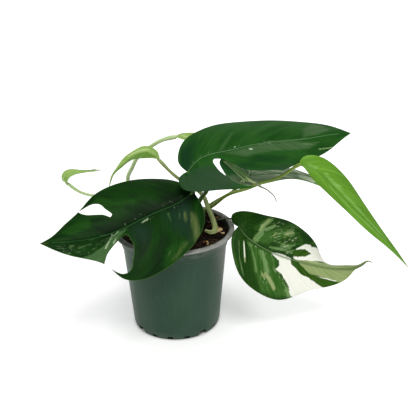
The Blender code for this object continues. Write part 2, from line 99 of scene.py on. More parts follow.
class Graph:
    """The node tree of one material, or of the world."""

    def __init__(self, owner: bpy.types.Material | bpy.types.World) -> None:
        """Start an empty tree.

        Args:
            owner: what the tree belongs to.
        """
        self.owner = owner
        owner.use_nodes = True
        self.tree = owner.node_tree
        self.tree.nodes.clear()

    @classmethod
    def for_material(cls, name: str) -> "Graph":
        """Start a new material's tree."""
        return cls(bpy.data.materials.new(name))

    def node(self, kind: str, settings: Mapping[str, object], inputs: Mapping[str | int, Value],
             output: str | int = 0) -> Wire:
        """Add a node.

        Args:
            kind: the node's type.
            settings: its properties, set first, with a colour ramp's stops under "stops".
            inputs: the values or links of its sockets.
            output: which of its outputs to return.

        Returns:
            The chosen output.
        """
        made = self.tree.nodes.new(kind)
        for key, setting in settings.items():
            if key == "stops":
                self._set_stops(made.color_ramp, setting)
            else:
                setattr(made, key, setting)
        for key, value in inputs.items():
            self._fill(made.inputs[key], value)
        return Wire(self, made.outputs[output])

    def _set_stops(self, ramp: bpy.types.ColorRamp, stops: Sequence[tuple[float, Colour]]) -> None:
        """Give a colour ramp its stops."""
        while len(ramp.elements) < len(stops):
            ramp.elements.new(1.0)
        for element, (place, colour) in zip(ramp.elements, stops):
            element.position = place
            element.color = (*colour, 1.0)

    def _fill(self, socket: bpy.types.NodeSocket, value: Value) -> None:
        """Link a socket to a wire, or write a value on it."""
        if isinstance(value, Wire):
            self.tree.links.new(value.socket, socket)
        elif isinstance(value, (int, float)):
            socket.default_value = value
        else:
            wide = len(socket.default_value)
            socket.default_value = (*value, 1.0)[:wide]

    def maths(self, operation: str, *values: Value) -> Wire:
        """A Math node."""
        return self.node("ShaderNodeMath", {"operation": operation}, dict(enumerate(values)))

    def attribute(self, name: str, output: str = "Fac") -> Wire:
        """A value that the mesh carries at each vertex."""
        return self.node("ShaderNodeAttribute", {"attribute_name": name}, {}, output)

    def split(self, vector: Wire, axis: str) -> Wire:
        """One part of a vector."""
        return self.node("ShaderNodeSeparateXYZ", {}, {0: vector}, axis)

    def place(self) -> Wire:
        """The object's own coordinates, in millimetres."""
        metres = self.node("ShaderNodeTexCoord", {}, {}, "Object")
        return self.stretch(metres, (1 / MM, 1 / MM, 1 / MM))

    def stretch(self, vector: Wire, scale: Sequence[float]) -> Wire:
        """A vector times a fixed one, part by part."""
        return self.node("ShaderNodeVectorMath", {"operation": "MULTIPLY"}, {0: vector, 1: scale})

    def noise(self, vector: Wire, scale: Sequence[float], detail: float = 3.0,
              rough: float = 0.5, twist: float = 0.0) -> Wire:
        """Smooth noise.

        Args:
            vector: where it is read.
            scale: waves per unit along each axis.
            detail: octaves.
            rough: how strong the finer octaves are.
            twist: how much the noise distorts itself.

        Returns:
            A value around 0.5.
        """
        return self.node("ShaderNodeTexNoise", {},
                         {"Vector": self.stretch(vector, scale), "Scale": 1.0, "Detail": detail,
                          "Roughness": rough, "Distortion": twist})

    def cells(self, vector: Wire, scale: Sequence[float]) -> Wire:
        """Scattered cells, each with a colour of its own."""
        return self.node("ShaderNodeTexVoronoi", {}, {"Vector": self.stretch(vector, scale), "Scale": 1.0},
                         "Color")

    def step(self, value: Wire, low: float, high: float, start: float = 0.0, end: float = 1.0) -> Wire:
        """A smooth step: start below low, end above high. low may be the larger."""
        if low > high:
            low, high, start, end = high, low, end, start
        return self.node("ShaderNodeMapRange", {"interpolation_type": "SMOOTHSTEP"},
                         {"Value": value, "From Min": low, "From Max": high, "To Min": start, "To Max": end})

    def mix(self, share: Value, first: Value, second: Value) -> Wire:
        """One colour turned into another by a share."""
        return self.node("ShaderNodeMix", {"data_type": "RGBA"}, {0: share, 6: first, 7: second}, 2)

    def ramp(self, value: Wire, stops: Sequence[tuple[float, Colour]]) -> Wire:
        """A colour ramp."""
        return self.node("ShaderNodeValToRGB", {"stops": stops}, {0: value})

    def bump(self, height: Wire, strength: float, depth: float) -> Wire:
        """A normal bent by a height map.

        Args:
            height: the map, 0 to 1.
            strength: how much of it counts.
            depth: what a height of 1 stands for, in millimetres.

        Returns:
            The normal.
        """
        return self.node("ShaderNodeBump", {}, {"Strength": strength, "Distance": depth * MM,
                                                "Height": height})

    def surface(self, inputs: Mapping[str, Value]) -> bpy.types.Material:
        """Close the material with a Principled surface.

        Args:
            inputs: the values or links of the shader's sockets.

        Returns:
            The material.
        """
        self.close(self.node("ShaderNodeBsdfPrincipled", {}, inputs), "ShaderNodeOutputMaterial")
        return self.owner

    def close(self, shader: Wire, kind: str) -> None:
        """Send a shader to the tree's output, of a node type."""
        made = self.tree.nodes.new(kind)
        self.tree.links.new(shader.socket, made.inputs["Surface"])


# ---------------------------------------------------------------- finishes


def seen_through(weight: float, depth: float) -> dict[str, Value]:
    """The sockets for light that passes through green tissue, to a depth in millimetres."""
    return {"Subsurface Weight": weight, "Subsurface Radius": (0.4, 1.0, 0.2), "Subsurface Scale": depth * MM}


class Tone(Enum):
    """A colour that a marking shows in place of the green: other tissue, and also painted sheen and painted
    shade.

    Each has the name of its field on the mesh, how softly it fades in millimetres, how far its edge frays
    along the veins, and how uneven its colour is, both as shares of the leaf's own.
    """

    # A mid-green: the leaf's own mottle on some leaves, painted sheen on the top and back leaves.
    MOSS_AND_SHEEN = ("moss", 2.2, 1.6, 1.0)
    # Painted sheen: a bluish-grey reflection laid into the colour.
    BLOOM = ("bloom", 5.0, 0.8, 0.6)
    # Darker green, partly the leaf's own and partly painted shade.
    SHADE_AND_DARK = ("dusk", 6.0, 0.8, 0.6)
    OLIVE = ("olive", 2.4, 1.7, 1.0)
    # A pale grey-green: the leaf's own streaks, and painted sheen on the back leaf.
    ASH_AND_SHEEN = ("ash", 0.8, 1.0, 0.75)
    LIME = ("lime", 0.6, 0.9, 0.4)
    CREAM = ("cream", 0.35, 0.5, 0.12)
    PINE = ("pine", 0.5, 1.0, 1.0)
    STRAW = ("straw", 0.7, 0.4, 0.6)
    FLECK = ("fleck", 0.9, 0.6, 0.5)
    DOT = ("dot", 0.25, 0.12, 0.2)

    def __init__(self, layer: str, blur: float, fray: float, uneven: float) -> None:
        """Keep the four parts by name."""
        self.layer = layer
        self.blur = blur
        self.fray = fray
        self.uneven = uneven


@dataclass(frozen=True)
class LeafFinish:
    """The skin of a leaf blade, above and below.

    deep and fresh are its two greens, vein and rib the lines on it, margin its thin edge, and under the
    lower side. tones are the colours of its markings, painted sheen and painted shade among them, laid in
    order, and uneven is how much each varies.
    streaky is how strongly the greens are drawn out along the veins, veined how plain the side veins are,
    crease how dark the furrow beside the rib is painted, as painted shade, flecked how many fine flecks of
    the vein's colour the green carries, gloss the strength of the sheen, and ragged how far, in millimetres,
    the markings' edges fray.
    margin_width is the thin edge's, in millimetres, and glow how much light passes through the blade.
    """

    name: str
    deep: Colour
    fresh: Colour
    vein: Colour
    rib: Colour
    margin: Colour
    under: Colour
    tones: Mapping[Tone, Colour]
    roughness: float = 0.42
    gloss: float = 0.12
    streaky: float = 0.35
    veined: float = 0.2
    uneven: float = 0.35
    margin_width: float = 0.5
    furrow_shade: float = 0.45
    flecked: float = 0.25
    glow: float = 0.0
    ragged: float = 2.6

    def _lay_tones(self, g: Graph, ground: Wire, vein: Wire) -> Wire:
        """Lay the markings, painted sheen and painted shade among them, over a ground colour."""
        drawn = g.noise(vein, (0.85, 0.13, 1.0), detail=5.0, rough=0.65) - 0.5
        broad = g.noise(vein, (0.2, 0.06, 1.0), detail=2.0) - 0.5
        fleck = g.noise(vein, (1.5, 0.55, 1.0), detail=5.0, rough=0.7) - 0.5
        wander = (drawn * 1.7 + fleck * 1.6 + broad * 1.2) * self.ragged
        shade = g.noise(vein, (0.6, 0.05, 1.0), detail=4.0, rough=0.6)
        bits = g.step(g.noise(vein, (0.95, 0.3, 1.0), detail=3.0, rough=0.6), 0.56, 0.64)
        bits = bits * g.step(g.noise(vein, (0.17, 0.11, 1.0), detail=2.0), 0.42, 0.56)
        for tone, colour in self.tones.items():
            inside = g.step(g.attribute(tone.layer) + wander * tone.fray, -tone.blur, tone.blur)
            if tone is Tone.FLECK:
                inside = inside * bits
            fade = self.uneven * tone.uneven
            dim = tuple(part * (1 - fade * weight) for part, weight in zip(colour, (1.0, 0.6, 1.2)))
            ground = g.mix(inside, ground, g.mix(g.step(shade, 0.36, 0.6), dim, colour))
        return ground

    def _green(self, g: Graph, vein: Wire) -> Wire:
        """The mottled green of the upper side, before veins and markings."""
        mottle = g.noise(vein, (0.07, 0.035, 1.0), detail=3.0)
        drawn = g.noise(vein, (0.8, 0.05, 1.0), detail=4.0, rough=0.6)
        share = g.step(mottle, 0.32, 0.68) * (1 - self.streaky) + g.step(drawn, 0.34, 0.66) * self.streaky
        flecks = g.noise(vein, (1.4, 0.28, 1.0), detail=5.0, rough=0.72)
        green = g.mix(share, self.deep, self.fresh)
        return g.mix(g.step(flecks, 0.54, 0.68) * self.flecked, green, self.vein)

    def _vein_line(self, g: Graph, vein: Wire, width: float) -> Wire:
        """1 on the side veins, 0 between them, with each vein fading in and out."""
        bent = g.attribute("course") + (g.noise(vein, (0.05, 0.03, 1.0), detail=1.0) - 0.5) * 0.5
        away = g.maths("PINGPONG", bent, 0.5) * g.attribute("spacing")
        seen = g.step(g.noise(vein, (0.09, 0.05, 1.0), detail=2.0), 0.35, 0.6)
        return g.step(away, width, width * 0.2) * seen

    def upper(self) -> bpy.types.Material:
        """The upper side's material."""
        g = Graph.for_material(f"{self.name}_upper")
        vein = g.attribute("vein", "Vector")
        rib = g.attribute("rib")
        line = self._vein_line(g, vein, 0.5)
        ground = g.mix(line * self.veined, self._green(g, vein), self.vein)
        thin = g.step(g.attribute("edge"), self.margin_width, self.margin_width * 0.4)
        ground = g.mix(thin * 0.75, ground, self.margin)
        ground = self._lay_tones(g, ground, vein)
        # Painted shade: the furrow beside the rib is darkened towards the deep green.
        ground = g.mix(g.step(rib, 2.2, 0.5) * self.furrow_shade, ground, self.deep)
        ground = g.mix(g.step(rib, 0.6, 0.2) * 0.85, ground, self.rib)
        fine = g.noise(vein, (3.0, 1.6, 1.0), detail=2.0)
        drawn = g.noise(vein, (1.1, 0.12, 1.0), detail=3.0)
        sheen = g.step(g.noise(vein, (0.16, 0.03, 1.0), detail=3.0), 0.4, 0.7)
        return g.surface({
            "Base Color": ground,
            "Roughness": self.roughness + (drawn - 0.5) * 0.16 + (fine - 0.5) * 0.08,
            "Specular IOR Level": 0.04,
            "Coat Weight": sheen * self.gloss,
            "Coat Roughness": 0.34,
            **seen_through(self.glow, 1.2),
            "Normal": g.bump((1 - line) * 0.3 + drawn * 0.5 + fine * 0.16, 0.4, 0.35),
        })

    def lower(self) -> bpy.types.Material:
        """The lower side's material: paler and duller, with raised veins."""
        g = Graph.for_material(f"{self.name}_lower")
        vein = g.attribute("vein", "Vector")
        line = self._vein_line(g, vein, 0.7)
        mottle = g.noise(vein, (0.12, 0.05, 1.0), detail=3.0)
        deeper = tuple(part * 0.8 for part in self.under)
        ground = g.mix(g.step(mottle, 0.3, 0.7), deeper, self.under)
        ground = g.mix(line * 0.4, ground, self.rib)
        ground = self._lay_tones(g, ground, vein)
        fine = g.noise(vein, (2.4, 1.2, 1.0), detail=2.0)
        return g.surface({
            "Base Color": ground,
            "Roughness": 0.55 + (fine - 0.5) * 0.12,
            "Specular IOR Level": 0.06,
            **seen_through(self.glow, 1.2),
            "Normal": g.bump(line * 0.8 + fine * 0.25, 0.5, 0.35),
        })


@dataclass(frozen=True)
class StalkFinish:
    """The skin of a petiole or stem: fibres along it, fine cross marks, and a foot of another colour."""

    name: str
    foot: Colour
    body: Colour
    light: Colour
    mark: Colour
    foot_reach: float = 0.12
    marks: float = 0.15
    roughness: float = 0.45

    def material(self) -> bpy.types.Material:
        """The material, which reads the tube's own lengthwise coordinates."""
        g = Graph.for_material(self.name)
        strand = g.attribute("strand", "Vector")
        reach = g.attribute("reach")
        fibre = g.noise(strand, (3.2, 3.2, 0.05), detail=3.0)
        stripe = g.noise(strand, (1.1, 1.1, 0.015), detail=1.0)
        patch = g.noise(strand, (0.6, 0.6, 0.12), detail=2.0)
        ticks = g.noise(strand, (1.1, 1.1, 1.7), detail=2.0, rough=0.6)
        pale = g.step(fibre, 0.35, 0.65) * 0.3 + g.step(stripe, 0.42, 0.6) * 0.5
        pale = pale + g.step(patch, 0.3, 0.7) * 0.2
        ground = g.mix(pale, self.body, self.light)
        tick = g.step(ticks, 0.54, 0.66) * self.marks
        ground = g.mix(tick, ground, self.mark)
        foot = g.step(reach + (patch - 0.5) * 0.08, self.foot_reach, self.foot_reach * 0.2)
        ground = g.mix(foot, ground, self.foot)
        return g.surface({
            "Base Color": ground,
            "Roughness": self.roughness + (fibre - 0.5) * 0.15,
            "Specular IOR Level": 0.15,
            "Coat Weight": g.step(patch, 0.4, 0.7) * 0.1,
            "Coat Roughness": 0.3,
            **seen_through(0.08, 1.5),
            "Normal": g.bump(fibre * 0.7 + (1 - tick) * 0.3, 0.4, 0.25),
        })


@dataclass(frozen=True)
class PotFinish:
    """Thin moulded green plastic, with scuffs on its wall and dirt at its foot; its rim is lighter, partly
    from dirt and wear and partly from a painted reflection, a painted highlight runs down its right side,
    painted shade lies under the lip, and the inside is painted near black, partly dirt and partly painted
    shade.
    """

    name: str = "pot_plastic"
    green: Colour = (0.021, 0.056, 0.031)
    worn: Colour = (0.034, 0.074, 0.045)
    # The two pale colours: real dirt at the foot and inside, and painted highlight and painted reflection on
    # the rim and the right side.
    dust_and_sheen: Colour = (0.28, 0.285, 0.26)
    chalk_and_sheen: Colour = (0.4, 0.39, 0.38)
    silt: Colour = (0.125, 0.13, 0.115)
    scuff: Colour = (0.14, 0.19, 0.16)
    # Near black: dirt, and painted shade on the wall inside the pot below the mouth.
    grime_and_shade: Colour = (0.014, 0.016, 0.013)

    def material(self) -> bpy.types.Material:
        """The pot's material."""
        g = Graph.for_material(self.name)
        place = g.place()
        height = g.split(place, "Z")
        cloud = g.noise(place, (0.025, 0.025, 0.02), detail=3.0)
        drag = g.noise(place, (0.6, 0.6, 0.012), detail=3.0)
        grain = g.noise(place, (2.4, 2.4, 2.4), detail=2.0)
        ground = g.mix(g.step(cloud, 0.3, 0.72) * 0.7 + g.step(drag, 0.4, 0.7) * 0.3,
                       self.green, self.worn)
        scratch = g.noise(place, (1.6, 1.6, 0.22), detail=2.0, twist=1.2)
        where = g.noise(place, (0.07, 0.07, 0.09), detail=2.0)
        scuffed = g.step(scratch, 0.68, 0.74) * g.step(where, 0.56, 0.66)
        ground = g.mix(scuffed * 0.5, ground, self.scuff)
        low = g.step(height + (where - 0.5) * 16.0, 10.0, 0.0)
        ground = g.mix(low * g.step(grain, 0.42, 0.66) * 0.3, ground, self.dust_and_sheen)
        smear = g.noise(place, (0.16, 0.16, 0.3), detail=4.0, rough=0.7)
        # Painted highlight: under the rim and down the right side the wall is lightened towards the pale
        # colour, most on the right.
        right_highlight_share = g.step(g.split(place, "X"), -12.0, 44.0)
        collar_highlight = g.step(height, 77.0, 84.0) * g.step(smear, 0.35, 0.65)
        ground = g.mix(collar_highlight * (right_highlight_share * 0.56 + 0.04), ground, self.dust_and_sheen)
        flank_highlight = g.step(g.split(place, "X"), 27.0, 45.0) * g.step(height + (smear - 0.5) * 14.0, 42.0, 78.0)
        ground = g.mix(flank_highlight * 0.5, ground, self.dust_and_sheen)
        # Painted shade: the band under the overhanging lip is darkened.
        ground = g.mix(g.step(height, 81.5, 85.2) * 0.55, ground, tuple(part * 0.45 for part in self.green))
        # The rim's top is lighter, partly from wear and partly from a painted reflection of the bright
        # surroundings, more so towards the right.
        crest = g.step(height + (smear - 0.5) * 0.9, 86.2, 87.0)
        worn = g.step(g.split(place, "X"), -46.0, -6.0) * 0.72 + 0.18
        ground = g.mix(crest * worn, ground, g.mix(g.step(smear, 0.42, 0.62), self.dust_and_sheen, self.chalk_and_sheen))
        # Inside, the wall is painted near black below the mouth, partly dirt and partly painted shade, with
        # paler silt above that reaches lower on the right.
        inside = g.attribute("lining")
        soiled_and_shaded = g.step(height + (smear - 0.5) * 3.0 + right_highlight_share * 0.8, 89.3, 87.6)
        lining = g.mix(soiled_and_shaded, g.mix(g.step(smear, 0.4, 0.6), self.silt, self.dust_and_sheen), self.grime_and_shade)
        ground = g.mix(inside * 0.95, ground, lining)
        rough = 0.42 + (drag - 0.5) * 0.14 + (grain - 0.5) * 0.1 + low * 0.15 + scuffed * 0.15 + crest * 0.25
        relief = drag * 0.5 + grain * 0.18 + cloud * 0.8
        return g.surface({
            "Base Color": ground,
            "Roughness": rough,
            "Specular IOR Level": 0.14,
            "Normal": g.bump(relief, 0.3, 0.25),
        })


@dataclass(frozen=True)
class MixFinish:
    """Coarse dark potting mix: black peat, powdered brown bark and a few pale grains."""

    name: str = "potting_mix"
    peat: Colour = (0.003, 0.0016, 0.001)
    bark: Colour = (0.028, 0.012, 0.005)
    grain: Colour = (0.11, 0.065, 0.03)

    def material(self) -> bpy.types.Material:
        """The surface's material."""
        g = Graph.for_material(self.name)
        place = g.place()
        clump = g.noise(place, (0.35, 0.35, 0.35), detail=5.0, rough=0.7)
        crumb = g.noise(place, (1.3, 1.3, 1.3), detail=4.0, rough=0.7)
        pick = g.split(g.cells(place, (0.8, 0.8, 0.8)), "X")
        ground = g.mix(g.step(clump * 0.5 + crumb * 0.5, 0.45, 0.66), self.peat, self.bark)
        ground = g.mix(g.step(pick, 0.955, 0.965) * 0.7, ground, self.grain)
        return g.surface({
            "Base Color": ground,
            "Roughness": 0.86 + (crumb - 0.5) * 0.2,
            "Specular IOR Level": 0.08,
            "Normal": g.bump(crumb * 0.7 + clump * 0.6, 0.9, 1.2),
        })


@dataclass(frozen=True)
class ChipFinish:
    """Loose bits in the mix. Each bit carries its own tone, 0 dark to 1 pale."""

    name: str
    stops: tuple[tuple[float, Colour], ...]
    roughness: float = 0.8

    def material(self) -> bpy.types.Material:
        """The bits' material."""
        g = Graph.for_material(self.name)
        place = g.place()
        grain = g.noise(place, (1.6, 0.35, 1.6), detail=4.0, rough=0.65)
        ground = g.ramp(g.attribute("tone") + (grain - 0.5) * 0.35, self.stops)
        return g.surface({
            "Base Color": ground,
            "Roughness": self.roughness + (grain - 0.5) * 0.2,
            "Specular IOR Level": 0.1,
            "Normal": g.bump(grain, 0.7, 0.4),
        })


# ---------------------------------------------------------------- mesh tools


class Guide:
    """A smooth curve through a few points: a natural cubic spline over the chord lengths."""

    def __init__(self, points: Sequence[Point]) -> None:
        """Fit the curve.

        Args:
            points: what it passes through, in order.
        """
        self.points = np.array(points, dtype=float)
        steps = np.linalg.norm(np.diff(self.points, axis=0), axis=1)
        self.knots = np.concatenate([[0.0], np.cumsum(steps)])
        self.length = float(self.knots[-1])
        self.bends = self._bends(steps)

    def _bends(self, steps: np.ndarray) -> np.ndarray:
        """Second derivatives at the points, zero at both ends."""
        count = len(self.points)
        system = np.eye(count)
        right = np.zeros_like(self.points)
        slopes = np.diff(self.points, axis=0) / steps[:, None]
        for i in range(1, count - 1):
            system[i, i - 1:i + 2] = (steps[i - 1], 2 * (steps[i - 1] + steps[i]), steps[i])
            right[i] = 6 * (slopes[i] - slopes[i - 1])
        return np.linalg.solve(system, right)

    def at(self, shares: np.ndarray) -> np.ndarray:
        """Points on the curve.

        Args:
            shares: shares of its length, from 0 to 1.

        Returns:
            One row for each share.
        """
        places = np.clip(np.atleast_1d(shares), 0.0, 1.0) * self.length
        i = np.clip(np.searchsorted(self.knots, places, side="right") - 1, 0, len(self.knots) - 2)
        step = self.knots[i + 1] - self.knots[i]
        b = ((places - self.knots[i]) / step)[:, None]
        a = 1 - b
        ends = a * self.points[i] + b * self.points[i + 1]
        bend = (a**3 - a) * self.bends[i] + (b**3 - b) * self.bends[i + 1]
        return ends + bend * (step**2)[:, None] / 6

    def along(self, shares: np.ndarray) -> np.ndarray:
        """Unit directions of travel at shares of the length."""
        step = 0.01
        shares = np.atleast_1d(shares)
        ahead = self.at(np.minimum(shares + step, 1.0)) - self.at(np.maximum(shares - step, 0.0))
        return unit(ahead)


def unit(vectors: np.ndarray) -> np.ndarray:
    """Vectors scaled to length 1, row by row."""
    return vectors / np.maximum(np.linalg.norm(vectors, axis=-1, keepdims=True), TINY)


def eased(stations: Sequence[float], values: Sequence[float], at: np.ndarray) -> np.ndarray:
    """Values between stations, on a smooth curve that doesn't overshoot.

    Args:
        stations: rising places.
        values: the value at each.
        at: where values are wanted.

    Returns:
        One value for each place in at.
    """
    x, y = np.array(stations, dtype=float), np.array(values, dtype=float)
    steps = np.diff(x)
    slopes = np.diff(y) / steps
    tangents = np.concatenate([[slopes[0]], (slopes[:-1] + slopes[1:]) / 2, [slopes[-1]]])
    tangents[1:-1][slopes[:-1] * slopes[1:] <= 0] = 0.0
    i = np.clip(np.searchsorted(x, at, side="right") - 1, 0, len(steps) - 1)
    t = np.clip((at - x[i]) / steps[i], 0.0, 1.0)
    start = (2 * t**3 - 3 * t**2 + 1) * y[i] + (t**3 - 2 * t**2 + t) * steps[i] * tangents[i]
    end = (3 * t**2 - 2 * t**3) * y[i + 1] + (t**3 - t**2) * steps[i] * tangents[i + 1]
    return start + end


def depth_inside(points: np.ndarray, corners: np.ndarray) -> np.ndarray:
    """How deep points lie inside a closed outline.

    Args:
        points: the points, one row each.
        corners: the outline's corners.

    Returns:
        The distance to the outline, negative outside it.
    """
    nearest = np.full(len(points), np.inf)
    inside = np.zeros(len(points), dtype=bool)
    for start, end in zip(corners, np.roll(corners, -1, axis=0)):
        nearest = np.minimum(nearest, distance_to(points, start, end))
        spans = (start[1] > points[:, 1]) != (end[1] > points[:, 1])
        rise = end[1] - start[1] or TINY
        cross = start[0] + (points[:, 1] - start[1]) / rise * (end[0] - start[0])
        inside ^= spans & (points[:, 0] < cross)
    return np.where(inside, nearest, -nearest)


def distance_to(points: np.ndarray, start: np.ndarray, end: np.ndarray) -> np.ndarray:
    """Distance from points to a straight stretch."""
    edge = end - start
    share = np.clip((points - start) @ edge / max(float(edge @ edge), TINY), 0.0, 1.0)
    return np.linalg.norm(points - start - share[:, None] * edge, axis=1)


def spun(profile: Sequence[tuple[float, float]], sides: int) -> bmesh.types.BMesh:
    """Spin a profile of (radius, height) that starts and ends on the axis."""
    bm = bmesh.new()
    corners = [bm.verts.new((radius, 0.0, height)) for radius, height in profile]
    edges = [bm.edges.new(pair) for pair in zip(corners, corners[1:])]
    bmesh.ops.spin(bm, geom=corners + edges, cent=(0, 0, 0), axis=(0, 0, 1), angle=math.tau,
                   steps=sides, use_merge=True)
    bmesh.ops.remove_doubles(bm, verts=bm.verts, dist=SEAM)
    return bm


def finished(bm: bmesh.types.BMesh, name: str, *materials: bpy.types.Material,
             sharp: float = 40.0) -> bpy.types.Object:
    """Turn a bmesh in millimetres into an object in metres.

    Args:
        bm: the mesh, which is freed.
        name: the piece's name.
        materials: its material slots.
        sharp: the angle, in degrees, past which an edge is drawn sharp.

    Returns:
        The object, at the origin.
    """
    bmesh.ops.scale(bm, vec=(MM, MM, MM), verts=bm.verts)
    mesh = bpy.data.meshes.new(name)
    bm.to_mesh(mesh)
    bm.free()
    mesh.shade_smooth()
    mesh.set_sharp_from_angle(angle=math.radians(sharp))
    for material in materials:
        mesh.materials.append(material)
    thing = bpy.data.objects.new(name, mesh)
    bpy.context.scene.collection.objects.link(thing)
    return thing


def enlist(piece: bpy.types.Object, slot: str, *nodes: str) -> bpy.types.Object:
    """Make a piece part of the model.

    Args:
        piece: the finished object.
        slot: the record's material slot of its finish; not used.
        nodes: the frame's nodes that it stands for.

    Returns:
        The piece.
    """
    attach(piece, BODY)
    if nodes:
        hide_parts(*nodes)
    LOG.info("%s: %d faces, %s", piece.name, len(piece.data.polygons), ", ".join(nodes) or "detail")
    return piece


Section = Callable[[np.ndarray, np.ndarray], np.ndarray]


def round_section(turn: np.ndarray, share: np.ndarray) -> np.ndarray:
    """A plain round section."""
    return np.ones_like(turn)


class TubeMesh:
    """Gathers swept tubes into one mesh, with the lengthwise coordinates that their finishes read."""

    def __init__(self) -> None:
        """Start empty."""
        self.bm = bmesh.new()
        self.strand = self.bm.verts.layers.float_vector.new("strand")
        self.reach = self.bm.verts.layers.float.new("reach")

    def sweep(self, middles: np.ndarray, radii: np.ndarray, sides: int = 14,
              section: Section = round_section, upper: Point = (0.0, 0.0, 1.0)) -> None:
        """Sweep a closed tube along a line.

        Args:
            middles: its middle line, one row a station.
            radii: its radius at each station.
            sides: how many faces go round it.
            section: the share of the radius at (turn, share), where turn 0 is its upper side.
            upper: the direction that turn 0 starts from.
        """
        middles = np.asarray(middles, dtype=float)
        count = len(middles)
        travel = unit(np.gradient(middles, axis=0))
        first = self._frames(travel, np.array(upper, dtype=float))
        second = np.cross(travel, first)
        lengths = np.concatenate([[0.0], np.cumsum(np.linalg.norm(np.diff(middles, axis=0), axis=1))])
        made = bmesh.ops.create_grid(self.bm, x_segments=count - 1, y_segments=sides, size=1.0)["verts"]
        flat = np.array([vert.co[:2] for vert in made])
        station = np.rint((flat[:, 0] + 1) / 2 * (count - 1)).astype(int)
        turn = (flat[:, 1] + 1) * math.pi
        share = station / (count - 1)
        around = np.cos(turn)[:, None] * first[station] + np.sin(turn)[:, None] * second[station]
        radius = np.asarray(radii, dtype=float)[station] * section(turn, share)
        places = middles[station] + around * radius[:, None]
        for vert, place, angle, length, part in zip(made, places, turn, lengths[station], share):
            vert.co = place
            vert[self.strand] = (math.cos(angle), math.sin(angle), length)
            vert[self.reach] = part
        bmesh.ops.remove_doubles(self.bm, verts=made, dist=TINY)
        rims = [edge for edge in self.bm.edges if edge.is_boundary]
        bmesh.ops.holes_fill(self.bm, edges=rims, sides=sides)

    def _frames(self, travel: np.ndarray, upper: np.ndarray) -> np.ndarray:
        """A direction square to the line at each station, carried along it without twisting."""
        frames = []
        for direction in travel:
            upper = unit(upper - (upper @ direction) * direction)
            frames.append(upper)
        return np.array(frames)

    def finished(self, name: str, material: bpy.types.Material) -> bpy.types.Object:
        """Turn the faces outwards and make the tubes one object."""
        bmesh.ops.recalc_face_normals(self.bm, faces=self.bm.faces)
        return finished(self.bm, name, material, sharp=60.0)


def rounded_ends(middles: np.ndarray, radii: np.ndarray) -> tuple[np.ndarray, np.ndarray]:
    """Add a rounded nose to both ends of a tube.

    Args:
        middles: the middle line.
        radii: the radius at each station.

    Returns:
        The longer middle line and its radii.
    """
    noses = ((0.45, 0.9), (0.8, 0.62), (0.97, 0.22))
    for _ in range(2):
        away = unit(middles[-1] - middles[-2])
        last, radius = middles[-1], radii[-1]
        middles = np.vstack([middles, *[last + away * radius * reach for reach, _ in noses]])[::-1]
        radii = np.concatenate([radii, [radius * width for _, width in noses]])[::-1]
    return middles, radii


# ---------------------------------------------------------------- leaves


class Side(Enum):
    """The two halves of a blade."""

    NEAR = -1
    FAR = 1


@dataclass(frozen=True)
class Slit:
    """A natural split in a blade, from near the rib out to the margin.

    It starts at place along the blade (0 base, 1 tip) and start out from the rib (0 rib, 1 margin).
    base_edge and tip_edge are the points (out, along) of its two sides from there.
    """

    side: Side
    place: float
    start: float
    base_edge: tuple[tuple[float, float], ...]
    tip_edge: tuple[tuple[float, float], ...]
    reach: float = 0.3

    def open(self, bm: bmesh.types.BMesh, rows: int, columns: int) -> None:
        """Split a flat grid from the slit's inner end to the margin, and draw its two sides apart.

        Args:
            bm: the flat grid, along it in X and across it in Y.
            rows: faces along it.
            columns: faces across each half.
        """
        row = round(self.place * rows) / rows
        first = round(self.start * columns) / columns
        out = self.side.value
        line = [
            edge
            for edge in bm.edges
            if all(abs(vert.co.x - row) < TINY and vert.co.y * out > first - TINY for vert in edge.verts)
        ]
        bmesh.ops.split_edges(bm, edges=line)
        moved = [vert for vert in bm.verts if vert.co.y * out > first + TINY]
        centres = np.array([sum(face.calc_center_median().x for face in vert.link_faces)
                            / len(vert.link_faces) for vert in moved])
        flat = np.array([vert.co[:2] for vert in moved])
        opened = np.sqrt((flat[:, 1] * out - first) / (1 - first))
        based = centres < row
        sides = [self._side(edge, row, first, opened) for edge in (self.base_edge, self.tip_edge)]
        shift = np.where(based, *sides) - row
        reach = np.where(based, min(self.reach, row), min(self.reach, 1 - row))
        close = np.maximum(0.0, 1 - np.abs(flat[:, 0] - row) / reach)
        for vert, along in zip(moved, flat[:, 0] + shift * close):
            vert.co.x = along

    def _side(self, edge: Sequence[tuple[float, float]], row: float, first: float,
              opened: np.ndarray) -> np.ndarray:
        """Where one side of the slit lies, at each share of its opening."""
        stations = [math.sqrt(max(0.0, out - first) / (1 - first)) for out, _ in edge]
        return eased([0.0, *stations], [row, *[along for _, along in edge]], opened)


@dataclass(frozen=True)
class Mark:
    """A patch of another tone on a blade: other tissue, painted sheen and painted shade alike.

    Its points are (along, across), and across is below 0 on the near half. With a width, in millimetres,
    they are a streak's middle line, and without one the patch's outline.
    """

    points: tuple[tuple[float, float], ...]
    width: float = 0.0

    def depth(self, places: np.ndarray, scale: np.ndarray) -> np.ndarray:
        """How deep places lie inside the patch, in millimetres.

        Args:
            places: places on the blade (along, across).
            scale: millimetres per unit of each.

        Returns:
            The depth, negative outside.
        """
        corners = np.array(self.points) * scale
        if not self.width:
            return depth_inside(places * scale, corners)
        stretches = [distance_to(places * scale, *pair) for pair in zip(corners, corners[1:])]
        return self.width / 2 - np.min(stretches, axis=0)


